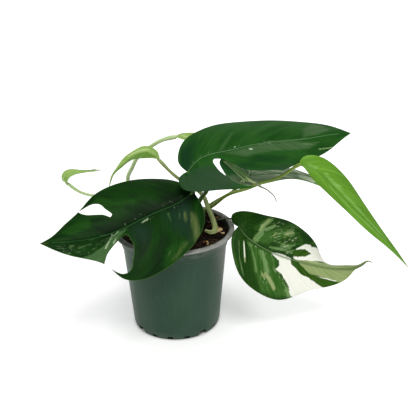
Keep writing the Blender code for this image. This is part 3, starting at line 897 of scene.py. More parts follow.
@dataclass(frozen=True)
class Blade:
    """A leaf blade, held by its rib and its two margins, base to tip.

    lobe is the share of the margins that runs round the lobes behind the base, sweep is how strongly the
    veins lean towards the tip, and arch is how far the halves bulge upwards as a share of their width.
    veins is how many side veins each half has, quilt how far the blade swells between them, furrow how deep
    the rib lies, slant how far the side veins run forwards as a share of their reach, and ripple how far its
    margins wander. marks are its patches of each other tone, other tissue and painted sheen and shade alike,
    and rib_end is where the midrib stops.
    """

    name: str
    slot: str
    finish: LeafFinish
    rib: tuple[Point, ...]
    near: tuple[Point, ...]
    far: tuple[Point, ...]
    lobe: float
    arch: float
    slits: tuple[Slit, ...] = ()
    marks: Mapping[Tone, tuple[Mark, ...]] = field(default_factory=dict)
    sweep: float = 1.25
    rows: int = 170
    columns: int = 48
    veins: float = 10.0
    quilt: float = 0.14
    furrow: float = 0.35
    slant: float = 0.45
    ripple: float = 0.35
    thickness: float = 0.5
    rib_radius: float = 1.3
    rib_end: float = 0.97

    def breadth(self) -> np.ndarray:
        """The direction from the near margin to the far one."""
        middle = np.array((0.35, 0.5, 0.65))
        return (Guide(self.far).at(middle) - Guide(self.near).at(middle)).sum(axis=0)

    def up(self, shares: np.ndarray) -> np.ndarray:
        """The direction that the upper face looks in, at shares of the rib."""
        ups = unit(np.cross(Guide(self.rib).along(shares), self.breadth()))
        return np.where(ups[:, 2:] > 0, ups, -ups)

    def width(self) -> float:
        """The mean width of a half, in millimetres."""
        shares = np.linspace(0.2, 0.8, 7)
        halves = [Guide(side).at(shares) - Guide(self.rib).at(shares) for side in (self.near, self.far)]
        return float(np.linalg.norm(np.concatenate(halves), axis=1).mean())

    def build(self) -> bpy.types.Object:
        """Build the blade.

        Returns:
            The finished object, thickened and with both sides' materials.
        """
        bm = bmesh.new()
        native = bm.verts.layers.float.new("native")
        bmesh.ops.create_grid(bm, x_segments=self.rows, y_segments=2 * self.columns, size=1.0)
        bmesh.ops.scale(bm, verts=bm.verts, vec=(0.5, 1.0, 1.0))
        bmesh.ops.translate(bm, verts=bm.verts, vec=(0.5, 0.0, 0.0))
        for vert in bm.verts:
            vert[native] = vert.co.x
        for slit in self.slits:
            slit.open(bm, self.rows, self.columns)
        flat = np.array([vert.co[:2] for vert in bm.verts])
        own = np.array([vert[native] for vert in bm.verts])
        places, ribs = self._laid(flat[:, 0], flat[:, 1], own)
        for vert, place in zip(bm.verts, places):
            vert.co = place
        self._write(bm, flat, own, ribs)
        ends = [vert for vert, share in zip(bm.verts, own) if not TINY < share < 1 - TINY]
        bmesh.ops.remove_doubles(bm, verts=ends, dist=END_WELD)
        bmesh.ops.remove_doubles(bm, verts=bm.verts, dist=WELD)
        self._measure_edge(bm)
        bm.normal_update()
        middle = min(bm.faces, key=lambda face: (face.calc_center_median()
                                                 - Vector(places[len(places) // 2])).length)
        if middle.normal.dot(Vector(self.up(np.array([0.5]))[0])) < 0:
            bmesh.ops.reverse_faces(bm, faces=bm.faces)
        leaf = finished(bm, f"{self.name}_blade", self.finish.upper(), self.finish.lower(), sharp=180.0)
        thicken = leaf.modifiers.new("thickness", "SOLIDIFY")
        thicken.thickness = self.thickness * MM
        thicken.offset = 0.0
        thicken.material_offset = 1
        return enlist(leaf, self.slot, self.name)

    def _laid(self, along: np.ndarray, across: np.ndarray,
              own: np.ndarray) -> tuple[np.ndarray, np.ndarray]:
        """Lay flat places between the rib and the margins.

        Args:
            along: from base 0 to tip 1.
            across: from the near margin -1 to the far margin 1.
            own: along, from before the slits were opened.

        Returns:
            The places in millimetres, and each one's distance from the rib.
        """
        margin = np.where(across[:, None] < 0, Guide(self.near).at(along), Guide(self.far).at(along))
        root = np.maximum(0.0, (along - self.lobe) / (1 - self.lobe)) ** self.sweep
        foot = Guide(self.rib).at(root)
        up = self.up(root)
        out = np.abs(across)
        width = np.linalg.norm(margin - foot, axis=1)
        lift = 4 * out * (1 - out) * self.arch * width
        course = own - self.slant * self.width() / Guide(self.rib).length * out**1.4
        wave = np.abs(np.sin(math.pi * (course * self.veins + 0.5 + 0.3 * np.sign(across))))
        swell = self.quilt * wave**0.7 * 2 * np.sqrt(out * (1 - out)) * np.minimum(1.0, width / 12)
        wander = self.ripple * out**2 * np.sin(math.tau * (own * 3.3 + 0.21 * np.sign(across)))
        wander = wander * np.sin(math.pi * along) ** 0.5
        groove = self.furrow * np.exp(-((out * width / 1.3) ** 2)) * np.minimum(1.0, width / 12)
        rise = lift + swell + wander - groove
        return foot + (margin - foot) * out[:, None] + up * rise[:, None], out * width

    def _write(self, bm: bmesh.types.BMesh, flat: np.ndarray, own: np.ndarray, ribs: np.ndarray) -> None:
        """Write what the finish reads at each vertex."""
        length, width = Guide(self.rib).length, self.width()
        scale = np.array((length, width))
        out = np.abs(flat[:, 1])
        along = own * length - self.slant * width * out**1.4
        values = {
            "rib": ribs + 3.0 * np.clip((own - 0.95) / 0.05, 0, 1),
            "course": along / length * self.veins + 0.5 + 0.3 * np.sign(flat[:, 1]),
            "spacing": np.full(len(flat), length / self.veins),
        }
        for tone in self.finish.tones:
            depths = [mark.depth(flat, scale) for mark in self.marks.get(tone, ())]
            values[tone.layer] = np.max([np.full(len(flat), -60.0), *depths], axis=0)
        for name, row in values.items():
            layer = bm.verts.layers.float.new(name)
            for vert, value in zip(bm.verts, row):
                vert[layer] = value
        vein = bm.verts.layers.float_vector.new("vein")
        for vert, x, y in zip(bm.verts, along, flat[:, 1] * width):
            vert[vein] = (x, y, 0.0)

    def _measure_edge(self, bm: bmesh.types.BMesh) -> None:
        """Write each vertex's distance to the nearest margin, slits included, in millimetres."""
        edge = bm.verts.layers.float.new("edge")
        margin = [vert for vert in bm.verts if vert.is_boundary]
        tree = kdtree.KDTree(len(margin))
        for i, vert in enumerate(margin):
            tree.insert(vert.co, i)
        tree.balance()
        for vert in bm.verts:
            vert[edge] = tree.find(vert.co)[2]

    def build_rib(self, finish: StalkFinish, slot: str) -> bpy.types.Object:
        """Build the raised midrib under the blade, which carries the petiole on towards the tip.

        Args:
            finish: its skin.
            slot: its material slot.

        Returns:
            The finished object.
        """
        shares = np.linspace(0.0, self.rib_end, 70)
        radii = self.rib_radius * (1 - 0.85 * shares**0.8)
        below = (radii + 0.3)[:, None] * self.up(shares)
        middles, radii = rounded_ends(Guide(self.rib).at(shares) - below, radii)
        tube = TubeMesh()
        tube.sweep(middles, radii, sides=12)
        return enlist(tube.finished(f"{self.name}_midrib", finish.material()), slot)


# ---------------------------------------------------------------- petioles and stem


@dataclass(frozen=True)
class Stalk:
    """A petiole or stem along a route.

    foot_radius and top_radius are its radii at the two ends, knee how much it swells where it meets the
    blade, groove how deep the channel on its upper side is, as a share of the radius, wings how far the
    channel's lips stand out on its lower half, and taper how much its foot narrows. rings are the shares of
    its length where old leaves left a swelling, and spacing is the step between its stations.
    """

    name: str
    slot: str
    finish: StalkFinish
    foot_radius: float
    top_radius: float
    route: tuple[Point, ...]
    upper: Point = (0.0, 0.0, 1.0)
    knee: float = 0.22
    groove: float = 0.16
    wings: float = 0.0
    taper: float = 0.0
    rings: tuple[float, ...] = ()
    ring_swell: float = 0.16
    ring_width: float = 1.1
    knee_reach: float = 4.0
    taper_reach: float = 0.07
    spacing: float = 1.2
    sides: int = 28

    def build(self) -> bpy.types.Object:
        """Build the stalk."""
        guide = Guide(self.route)
        count = max(24, round(guide.length / self.spacing))
        shares = np.linspace(0.0, 1.0, count)
        radii = self.foot_radius + (self.top_radius - self.foot_radius) * shares**0.5
        from_top = (1 - shares) * guide.length
        radii = radii * (1 + self.knee * np.exp(-(((from_top - self.knee_reach) / self.knee_reach) ** 2)))
        radii = radii * (1 - self.taper * np.exp(-((shares / self.taper_reach) ** 2)))
        for ring in self.rings:
            away = (shares - ring) * guide.length / self.ring_width
            radii = radii * (1 + self.ring_swell * np.exp(-(away**2)))
        middles, radii = rounded_ends(guide.at(shares), radii)
        tube = TubeMesh()
        tube.sweep(middles, radii, sides=self.sides, section=self._section, upper=self.upper)
        return enlist(tube.finished(f"{self.name}_tube", self.finish.material()), self.slot, self.name)

    def _section(self, turn: np.ndarray, share: np.ndarray) -> np.ndarray:
        """The channelled section: a groove on the upper side, with lips beside it on the lower half."""
        swing = np.minimum(turn, math.tau - turn)
        channel = self.groove * np.exp(-((swing / 0.42) ** 2))
        sheath = self.wings * np.clip((0.62 - share) / 0.2, 0.0, 1.0) * np.clip(share / 0.12, 0.0, 1.0)
        lips = sheath * np.exp(-(((swing - 0.85) / 0.3) ** 2))
        return 1 - channel * (1 + 2.0 * sheath) + lips


# ---------------------------------------------------------------- pot


@dataclass(frozen=True)
class Pot:
    """The nursery pot: a thin turned shell, with raised channels and drain notches in its foot."""

    finish: PotFinish = PotFinish()
    height: float = 89.0
    rim_radius: float = 51.0
    rim_inner_radius: float = 46.4
    lip_depth: float = 2.6
    wall: float = 1.1
    floor: float = 1.4
    edge_round: float = 0.5
    sides: int = 176
    channel_angles: tuple[float, ...] = (35.0, 125.0, 215.0, 305.0)
    channel_width: float = 7.5
    channel_height: float = 5.5
    channel_start: float = 22.0
    channel_round: float = 2.0
    notch_spread: float = 22.0
    notch_width: float = 5.0
    notch_height: float = 3.4
    notch_start: float = 33.0
    notch_round: float = 1.2
    notch_sill: float = 0.8
    cut_end: float = 45.0

    def outer_profile(self) -> list[tuple[float, float]]:
        """The outside, as (radius, height), from the middle of the base to the middle of the mouth."""
        top = self.height
        return [
            (0.0, 0.0), (35.5, 0.0), (37.0, 1.0), (37.9, 4.0), (43.7, 69.0),
            (44.2, 75.2), (44.75, 75.7), (45.2, 76.3), (45.8, top - 8.0),
            (self.rim_radius - 2.8, top - self.lip_depth - 0.5),
            (self.rim_radius - 0.7, top - self.lip_depth),
            (self.rim_radius, top - self.lip_depth + 0.7),
            (self.rim_radius, top - 0.9), (self.rim_radius - 0.9, top), (0.0, top),
        ]

    def hollow_profile(self) -> list[tuple[float, float]]:
        """The room inside, in the same way, up past the mouth."""
        mouth = self.rim_inner_radius
        return [
            (0.0, self.floor), (34.4, self.floor), (36.8, self.floor + 2.5), (42.6, 69.0), (43.8, 76.0),
            (mouth - 0.5, self.height - 5.0), (mouth, self.height - 1.2), (mouth + 0.35, self.height - 0.4),
            (mouth + 0.9, self.height), (mouth + 0.9, self.height + 2.0), (0.0, self.height + 2.0),
        ]

    def build(self) -> bpy.types.Object:
        """Build the pot.

        Returns:
            The finished object, with its cuts already made.
        """
        pot = finished(self._turned(self.outer_profile(), rounded=self.edge_round), "pot_shell",
                       self.finish.material())
        hollow = finished(self._turned(self.hollow_profile()), "pot_hollow")
        covers = finished(self._spokes(self.channel_angles, self.channel_start - self.wall,
                                       self.channel_width + 2 * self.wall,
                                       self.channel_height + self.wall,
                                       self.channel_round + self.wall), "covers")
        channels = finished(self._spokes(self.channel_angles, self.channel_start, self.channel_width,
                                         self.channel_height, self.channel_round), "channels")
        angles = [middle + 45.0 + step * self.notch_spread
                  for middle in self.channel_angles for step in (-1, 0, 1)]
        notches = finished(self._spokes(angles, self.notch_start, self.notch_width, self.notch_height,
                                        self.notch_round, bottom=self.notch_sill), "notches")
        self._cut(hollow, covers)
        for tool in (hollow, channels, notches):
            self._cut(pot, tool)
        self._settle(pot)
        for tool in (hollow, covers, channels, notches):
            bpy.data.objects.remove(tool)
        return enlist(pot, "pot_plastic", "pot")

    def _turned(self, profile: Sequence[tuple[float, float]], rounded: float = 0.0) -> bmesh.types.BMesh:
        """Spin a profile that starts and ends on the axis, and round the rings of its sharp corners."""
        bm = spun(profile, self.sides)
        bmesh.ops.recalc_face_normals(bm, faces=bm.faces)
        if rounded:
            rings = [edge for edge in bm.edges
                     if edge.is_manifold and edge.calc_face_angle() > math.radians(22)
                     and abs(edge.verts[0].co.z - edge.verts[1].co.z) < TINY]
            bmesh.ops.bevel(bm, geom=rings, offset=rounded, offset_type="OFFSET", affect="EDGES",
                            segments=3, profile=0.5, material=-1, clamp_overlap=True)
        return bm

    def _spokes(self, angles: Sequence[float], inner: float, width: float, top: float,
                bevel: float, bottom: float = -1.0) -> bmesh.types.BMesh:
        """Boxes along radii of the pot, with their upper long edges rounded."""
        bm = bmesh.new()
        for angle in angles:
            made = bmesh.ops.create_cube(bm, size=1.0)["verts"]
            bmesh.ops.scale(bm, verts=made, vec=(width, self.cut_end - inner, top - bottom))
            bmesh.ops.translate(bm, verts=made,
                                vec=(0, -(self.cut_end + inner) / 2, (top + bottom) / 2))
            ridges = [
                edge
                for edge in {edge for vert in made for edge in vert.link_edges}
                if all(vert.co.z > (top + bottom) / 2 for vert in edge.verts)
                and abs(edge.verts[0].co.x - edge.verts[1].co.x) < width / 2
            ]
            rounded = bmesh.ops.bevel(bm, geom=ridges, offset=bevel, offset_type="OFFSET",
                                      affect="EDGES", segments=6, profile=0.5, material=-1)
            spoke = {vert for vert in made if vert.is_valid} | set(rounded["verts"])
            bmesh.ops.rotate(bm, verts=list(spoke), cent=(0, 0, 0),
                             matrix=Matrix.Rotation(math.radians(angle), 3, "Z"))
        return bm

    def _cut(self, thing: bpy.types.Object, tool: bpy.types.Object) -> None:
        """Take a tool's shape out of an object."""
        boolean = thing.modifiers.new(tool.name, "BOOLEAN")
        boolean.operation = "DIFFERENCE"
        boolean.solver = "EXACT"
        boolean.object = tool

    def _settle(self, thing: bpy.types.Object) -> None:
        """Turn an object's modifiers into plain mesh, and mark its lining for the finish."""
        graph = bpy.context.evaluated_depsgraph_get()
        mesh = bpy.data.meshes.new_from_object(thing.evaluated_get(graph), depsgraph=graph)
        thing.modifiers.clear()
        thing.data = mesh
        bm = bmesh.new()
        bm.from_mesh(mesh)
        bmesh.ops.remove_doubles(bm, verts=bm.verts, dist=SLIVER * MM)
        bmesh.ops.dissolve_degenerate(bm, dist=TINY * MM, edges=bm.edges)
        bm.to_mesh(mesh)
        bm.free()
        mesh.shade_smooth()
        mesh.set_sharp_from_angle(angle=math.radians(32))
        radii, heights = zip(*self.hollow_profile()[1:-2])
        lining = mesh.attributes.new("lining", "FLOAT", "POINT")
        for vert, value in zip(mesh.vertices, lining.data):
            out, high = math.hypot(vert.co.x, vert.co.y) / MM, vert.co.z / MM
            value.value = float(high > self.floor - 0.1 and out < np.interp(high, heights, radii) + 0.2)


# ---------------------------------------------------------------- potting mix


@dataclass(frozen=True)
class Scatter:
    """A kind of loose bit: how many there are, and their ranges of size, flatness and tone.

    Sizes are in millimetres, and sink is how much lower a bit sits, as a share of its own thickness.
    """

    name: str
    count: int
    size: tuple[float, float]
    flat: tuple[float, float]
    tone: tuple[float, float]
    sink: float


@dataclass(frozen=True)
class PottingMix:
    """The potting mix: a lumpy top with a low heap, and bark, crumbs and fibres lying in it."""

    finish: MixFinish = MixFinish()
    level: float = 84.0
    swell: float = 0.6
    edge: float = 45.5
    heap: float = 3.0
    heap_place: tuple[float, float] = (24.0, 30.0)
    heap_width: float = 17.0
    bottom: float = 1.9
    fibres: int = 46
    chip_angle: float = 28.0
    channel_gap: float = 0.4
    rings: int = 110
    sides: int = 200
    seed: int = 11
    scatters: tuple[Scatter, ...] = (
        Scatter("bark_chips", 60, (2.6, 6.0), (0.25, 0.5), (0.15, 0.62), 0.25),
        Scatter("crumbs", 620, (0.9, 2.3), (0.6, 1.0), (0.0, 0.42), 0.1),
        Scatter("pale_chips", 26, (1.4, 3.6), (0.3, 0.6), (0.7, 1.0), 0.0),
    )

    def height(self, x: float, y: float) -> float:
        """Height of the top at a place."""
        base = self.level + self.swell * math.sin(x / 9.0 + 0.6) * math.cos(y / 11.0 - 0.4)
        away = math.hypot(x - self.heap_place[0], y - self.heap_place[1])
        base += self.heap * math.exp(-((away / self.heap_width) ** 2))
        lumps = noise.turbulence(Vector((x, y, 3.0)) * 0.14, 4, False, noise_basis="PERLIN_ORIGINAL")
        crumbs = noise.fractal(Vector((x, y, 9.0)) * 0.5, 0.9, 2.1, 4)
        fade = min(1.0, max(0.0, (self.edge + 1.0 - math.hypot(x, y)) / 5.0))
        return base + (1.3 * (lumps - 0.5) + 0.7 * crumbs) * (0.35 + 0.65 * fade)

    def build(self) -> None:
        """Build the mix and everything loose in it."""
        wall = [(34.0, self.bottom), (36.4, 4.0), (42.2, 69.0), (43.35, 76.0), (self.edge, self.level)]
        top = [(self.edge * (1 - i / self.rings), self.level) for i in range(1, self.rings)]
        profile = [(0.0, self.bottom), *wall, *top, (0.0, self.level)]
        bm = spun(profile, self.sides)
        for vert in bm.verts:
            if vert.co.z > self.level - 0.5:
                vert.co.z = self.height(vert.co.x, vert.co.y)
        self._clear_channels(bm, Pot())
        bmesh.ops.recalc_face_normals(bm, faces=bm.faces)
        enlist(finished(bm, "mix_bed", self.finish.material(), sharp=180.0), "potting_mix", "soil")
        chance = np.random.default_rng(self.seed)
        stops = ((0.0, (0.004, 0.002, 0.001)), (0.35, (0.02, 0.009, 0.004)), (0.6, (0.1, 0.05, 0.022)),
                 (0.8, (0.42, 0.26, 0.1)), (1.0, (0.74, 0.54, 0.28)))
        material = ChipFinish("loose_bits", stops).material()
        for scatter in self.scatters:
            self._scatter(scatter, chance, material)
        self._fibres(chance)
        self._flakes(material)

    def _clear_channels(self, bm: bmesh.types.BMesh, pot: Pot) -> None:
        """Lift the mix's base off the pot's raised channels."""
        lid = pot.channel_height + pot.wall + self.channel_gap
        for vert in bm.verts:
            if vert.co.z < lid:
                vert.co.z = max(vert.co.z, lid)

    def _scatter(self, scatter: Scatter, chance: np.random.Generator,
                 material: bpy.types.Material) -> None:
        """Strew one kind of bit over the top."""
        bm = bmesh.new()
        tone = bm.verts.layers.float.new("tone")
        for _ in range(scatter.count):
            radius = (self.edge - 1.5) * math.sqrt(chance.uniform(0.0, 1.0))
            angle = chance.uniform(0.0, math.tau)
            x, y = radius * math.cos(angle), radius * math.sin(angle)
            long = chance.uniform(*scatter.size)
            size = (long, long * chance.uniform(0.45, 0.9), long * chance.uniform(*scatter.flat))
            turn = (chance.normal(0.0, 0.35), chance.normal(0.0, 0.35), chance.uniform(0.0, math.tau))
            self._bit(bm, tone, (x, y, self.height(x, y) + size[2] * (0.2 - scatter.sink)), size, turn,
                      chance.uniform(*scatter.tone), chance)
        bmesh.ops.recalc_face_normals(bm, faces=bm.faces)
        enlist(finished(bm, scatter.name, material, sharp=self.chip_angle), "potting_mix")

    def _bit(self, bm: bmesh.types.BMesh, tone: bmesh.types.BMLayerItem, place: Point, size: Point,
             turn: Point, shade: float, chance: np.random.Generator) -> None:
        """One angular bit: a jittered ball, squashed, turned and put in place."""
        made = bmesh.ops.create_icosphere(bm, subdivisions=2, radius=0.5)["verts"]
        away = Vector(chance.normal(0.0, 40.0, 3))
        for vert in made:
            lump = noise.noise(vert.co * 3.1 + away)
            vert.co *= 1 + 0.5 * lump
            vert.co.x = math.copysign(abs(vert.co.x * 2) ** 0.7 / 2, vert.co.x)
            vert[tone] = shade
        bmesh.ops.scale(bm, verts=made, vec=size)
        for axis, angle in zip("XYZ", turn):
            bmesh.ops.rotate(bm, verts=made, cent=(0, 0, 0), matrix=Matrix.Rotation(angle, 3, axis))
        bmesh.ops.translate(bm, verts=made, vec=place)

    def _fibres(self, chance: np.random.Generator) -> None:
        """Lay thin curled fibres on the top."""
        tube = TubeMesh()
        for _ in range(self.fibres):
            radius = (self.edge - 5.0) * math.sqrt(chance.uniform(0.0, 1.0))
            angle, heading = chance.uniform(0.0, math.tau, 2)
            x, y = radius * math.cos(angle), radius * math.sin(angle)
            length, curl = chance.uniform(4.0, 11.0), chance.uniform(-1.1, 1.1)
            middles = []
            for part in np.linspace(0.0, 1.0, 9):
                middles.append((x, y, self.height(x, y) + 0.25 + 0.5 * math.sin(part * math.pi)))
                x += math.cos(heading) * length / 8
                y += math.sin(heading) * length / 8
                heading += curl / 8
                if math.hypot(x, y) > self.edge - 1.2:
                    heading += 1.2
            tube.sweep(np.array(middles), np.linspace(0.16, 0.07, 9), sides=5)
        finish = StalkFinish("root_fibre", (0.05, 0.03, 0.015), (0.1, 0.06, 0.03), (0.2, 0.13, 0.07),
                             (0.03, 0.02, 0.01))
        enlist(tube.finished("root_fibres", finish.material()), "potting_mix")

    def _flakes(self, material: bpy.types.Material) -> None:
        """The larger bark flakes, each put in its place."""
        bm = bmesh.new()
        tone = bm.verts.layers.float.new("tone")
        chance = np.random.default_rng(self.seed + 1)
        flakes = (((38.0, 2.0), (6.4, 4.2, 1.7), 0.4, 0.98), ((40.2, -2.5), (5.4, 3.2, 1.5), -0.5, 0.95),
                  ((34.5, -3.0), (4.8, 2.8, 1.4), 1.2, 0.8), ((38.0, 5.0), (4.4, 2.6, 1.3), 2.2, 0.74),
                  ((36.0, 22.0), (8.0, 4.4, 2.4), -0.3, 0.56), ((24.0, -20.0), (4.0, 2.2, 1.2), 0.9, 0.6),
                  ((30.0, 9.0), (5.0, 3.0, 1.6), 0.3, 0.42))
        for (x, y), size, heading, shade in flakes:
            self._bit(bm, tone, (x, y, self.height(x, y) + size[2] * 0.4), size,
                      (0.15, -0.2, heading), shade, chance)
        bmesh.ops.recalc_face_normals(bm, faces=bm.faces)
        enlist(finished(bm, "bark_flakes", material, sharp=self.chip_angle), "potting_mix")


# ---------------------------------------------------------------- studio


@dataclass(frozen=True)
class Lamp:
    """A distant soft lamp: where it shines from, its strength, its width in degrees and its colour."""

    name: str
    toward: Point
    strength: float
    spread: float
    colour: Colour = (1.0, 1.0, 1.0)

    def hang(self) -> None:
        """Hang the lamp."""
        light = bpy.data.lights.new(self.name, "SUN")
        light.energy = self.strength
        light.angle = math.radians(self.spread)
        light.color = self.colour
        thing = bpy.data.objects.new(self.name, light)
        bpy.context.scene.collection.objects.link(thing)
        thing.rotation_mode = "QUATERNION"
        thing.rotation_quaternion = Vector(self.toward).to_track_quat("Z", "Y")


@dataclass(frozen=True)
class Studio:
    """The white sweep, the soft lamps and the camera."""

    camera_place: Point = (0.0, -0.57392, 0.34966)
    camera_aim: Point = (0.02869, 0.0, 0.10538)
    camera_roll: float = -0.69
    lens: float = 64.16
    sky: float = 0.6
    floor_white: Colour = (0.86, 0.865, 0.86)
    floor_glow: float = 0.27
    far_glow: float = 0.24
    foot: float = 37.0
    lamps: tuple[Lamp, ...] = (
        Lamp("key", (0.1, -0.5, 0.86), 1.4, 24.0, (1.0, 0.99, 0.97)),
        Lamp("fill", (-0.5, -0.6, 0.62), 0.35, 60.0, (0.95, 0.98, 1.0)),
    )

    def build(self) -> None:
        """Set the whole stage."""
        self._floor()
        self._sky()
        for lamp in self.lamps:
            lamp.hang()
        self._camera()
        bpy.context.scene.view_settings.view_transform = "Standard"

    def _plain_rays(self, g: Graph) -> Wire:
        """1 for rays that should meet the plain white background: from the camera, and seen in gloss."""
        rays = [g.node("ShaderNodeLightPath", {}, {}, kind)
                for kind in ("Is Camera Ray", "Is Glossy Ray", "Is Transmission Ray")]
        return g.maths("MAXIMUM", g.maths("MAXIMUM", rays[0], rays[1]), rays[2])

    def _floor(self) -> None:
        """A wide pale floor, lifted for the camera by a glow that stops under the pot so that the shade there
        stays; further out, most on the right, more painted glow washes out the leaves' cast shadows.
        """
        g = Graph.for_material("floor")
        white = g.node("ShaderNodeBsdfDiffuse", {}, {"Color": self.floor_white})
        away = g.node("ShaderNodeVectorMath", {"operation": "LENGTH"}, {0: g.place()}, "Value")
        clear = g.step(away, self.foot - 1.5, self.foot + 3.0)
        # Painted light: away from the pot, most on the right, extra glow washes out the leaves' cast shadows.
        right = g.step(g.split(g.place(), "X"), -50.0, 30.0) * 0.6 + 0.4
        far = g.step(away, self.foot + 8.0, self.foot + 50.0) * right
        glow = clear * self.floor_glow + far * self.far_glow
        lit = g.node("ShaderNodeEmission", {}, {"Color": (1.0, 1.0, 1.0),
                                                "Strength": self._plain_rays(g) * glow})
        g.close(g.node("ShaderNodeAddShader", {}, {0: white, 1: lit}), "ShaderNodeOutputMaterial")
        bm = bmesh.new()
        bmesh.ops.create_grid(bm, x_segments=8, y_segments=8, size=7000.0)
        finished(bm, "floor", g.owner)

    def _sky(self) -> None:
        """Even light from all round, and a white background."""
        world = bpy.data.worlds.new("studio")
        bpy.context.scene.world = world
        g = Graph(world)
        shade = g.mix(self._plain_rays(g), (self.sky, self.sky, self.sky * 1.01), (1.0, 1.0, 1.0))
        g.close(g.node("ShaderNodeBackground", {}, {"Color": shade, "Strength": 1.0}),
                "ShaderNodeOutputWorld")

    def _camera(self) -> None:
        """Put up the camera."""
        data = bpy.data.cameras.new("camera")
        data.sensor_width = 36.0
        data.lens = self.lens
        data.clip_start, data.clip_end = 0.01, 50.0
        thing = bpy.data.objects.new("camera", data)
        bpy.context.scene.collection.objects.link(thing)
        back = Vector(self.camera_place) - Vector(self.camera_aim)
        turn = back.to_track_quat("Z", "Y").to_matrix()
        turn = turn @ Matrix.Rotation(math.radians(self.camera_roll), 3, "Z")
        thing.matrix_world = Matrix.Translation(self.camera_place) @ turn.to_4x4()
        bpy.context.scene.camera = thing


# ---------------------------------------------------------------- this plant's finishes


CREAM = (0.87, 0.87, 0.78)
SHADED_LEAF = LeafFinish(
    "shaded_leaf", deep=(0.001, 0.012, 0.001), fresh=(0.005, 0.04, 0.002), vein=(0.018, 0.075, 0.01),
    rib=(0.022, 0.085, 0.022), margin=(0.06, 0.15, 0.02), under=(0.06, 0.13, 0.05),
    tones={Tone.SHADE_AND_DARK: (0.001, 0.009, 0.001), Tone.BLOOM: (0.008, 0.031, 0.014),
           Tone.MOSS_AND_SHEEN: (0.009, 0.055, 0.004), Tone.OLIVE: (0.085, 0.12, 0.036),
           Tone.ASH_AND_SHEEN: (0.055, 0.12, 0.04), Tone.STRAW: (0.34, 0.22, 0.06), Tone.CREAM: (0.28, 0.38, 0.22),
           Tone.FLECK: (0.14, 0.21, 0.1)},
    roughness=0.42, gloss=0.02, ragged=2.2, streaky=0.25, margin_width=0.6, flecked=0.4)
UPPER_LEAF = LeafFinish(
    "upper_leaf", deep=(0.004, 0.044, 0.003), fresh=(0.018, 0.09, 0.01), vein=(0.042, 0.125, 0.03),
    rib=(0.11, 0.23, 0.09), margin=(0.02, 0.08, 0.015), under=(0.08, 0.15, 0.07),
    tones={Tone.SHADE_AND_DARK: (0.005, 0.036, 0.009), Tone.BLOOM: (0.021, 0.06, 0.023),
           Tone.MOSS_AND_SHEEN: (0.056, 0.122, 0.043), Tone.ASH_AND_SHEEN: (0.11, 0.2, 0.085), Tone.LIME: (0.26, 0.38, 0.16),
           Tone.CREAM: (0.7, 0.75, 0.6), Tone.FLECK: (0.18, 0.28, 0.15), Tone.DOT: (0.4, 0.5, 0.36)},
    gloss=0.03, streaky=0.3, ragged=1.8, flecked=0.45)
MARBLED_LEAF = LeafFinish(
    "marbled_leaf", deep=(0.002, 0.024, 0.001), fresh=(0.017, 0.062, 0.006), vein=(0.055, 0.14, 0.026),
    rib=(0.15, 0.25, 0.09), margin=(0.06, 0.15, 0.015), under=(0.12, 0.2, 0.08),
    tones={Tone.MOSS_AND_SHEEN: (0.05, 0.135, 0.024), Tone.ASH_AND_SHEEN: (0.16, 0.27, 0.1), Tone.LIME: (0.29, 0.36, 0.15),
           Tone.FLECK: (0.46, 0.54, 0.32), Tone.CREAM: CREAM, Tone.PINE: (0.04, 0.1, 0.01),
           Tone.STRAW: (0.42, 0.47, 0.25)},
    gloss=0.03, streaky=0.5, uneven=0.55, ragged=1.7, flecked=0.7)
YOUNG_LEAF = LeafFinish(
    "young_leaf", deep=(0.07, 0.21, 0.008), fresh=(0.17, 0.38, 0.04), vein=(0.24, 0.46, 0.1),
    rib=(0.13, 0.3, 0.05), margin=(0.1, 0.24, 0.025), under=(0.2, 0.38, 0.08),
    tones={Tone.SHADE_AND_DARK: (0.085, 0.21, 0.015), Tone.ASH_AND_SHEEN: (0.23, 0.45, 0.1)}, streaky=0.65, glow=0.08,
    furrow_shade=0.4, flecked=0.5)
# The back leaf's colours are set pale to make up for the top leaf's shade, as painted light, and its
# grey-white patches and streaks are painted sheen.
BACK_LEAF = LeafFinish(
    "back_leaf", deep=(0.015, 0.12, 0.02), fresh=(0.045, 0.2, 0.05), vein=(0.4, 0.52, 0.34),
    rib=(0.55, 0.65, 0.45), margin=(0.3, 0.42, 0.2), under=(0.3, 0.4, 0.24),
    tones={Tone.MOSS_AND_SHEEN: (0.34, 0.46, 0.28), Tone.SHADE_AND_DARK: (0.12, 0.24, 0.1), Tone.ASH_AND_SHEEN: (0.78, 0.84, 0.68)},
    roughness=0.48, streaky=0.7, glow=0.12, uneven=0.45, flecked=0.3)
PALE_LEAF = LeafFinish(
    "pale_leaf", deep=(0.17, 0.32, 0.05), fresh=(0.33, 0.49, 0.13), vein=(0.44, 0.58, 0.24),
    rib=(0.42, 0.56, 0.22), margin=(0.3, 0.44, 0.12), under=(0.3, 0.42, 0.12),
    tones={Tone.PINE: (0.14, 0.26, 0.045), Tone.CREAM: (0.5, 0.6, 0.3)}, streaky=0.6, glow=0.1,
    furrow_shade=0.2, ragged=1.0, flecked=0.5)
SHEATH_SKIN = LeafFinish(
    "dry_sheath", deep=(0.08, 0.19, 0.05), fresh=(0.16, 0.3, 0.11), vein=(0.34, 0.46, 0.22),
    rib=(0.42, 0.52, 0.26), margin=(0.42, 0.52, 0.26), under=(0.2, 0.32, 0.12),
    tones={}, roughness=0.6, streaky=0.9, margin_width=0.8, glow=0.08, furrow_shade=0.0)

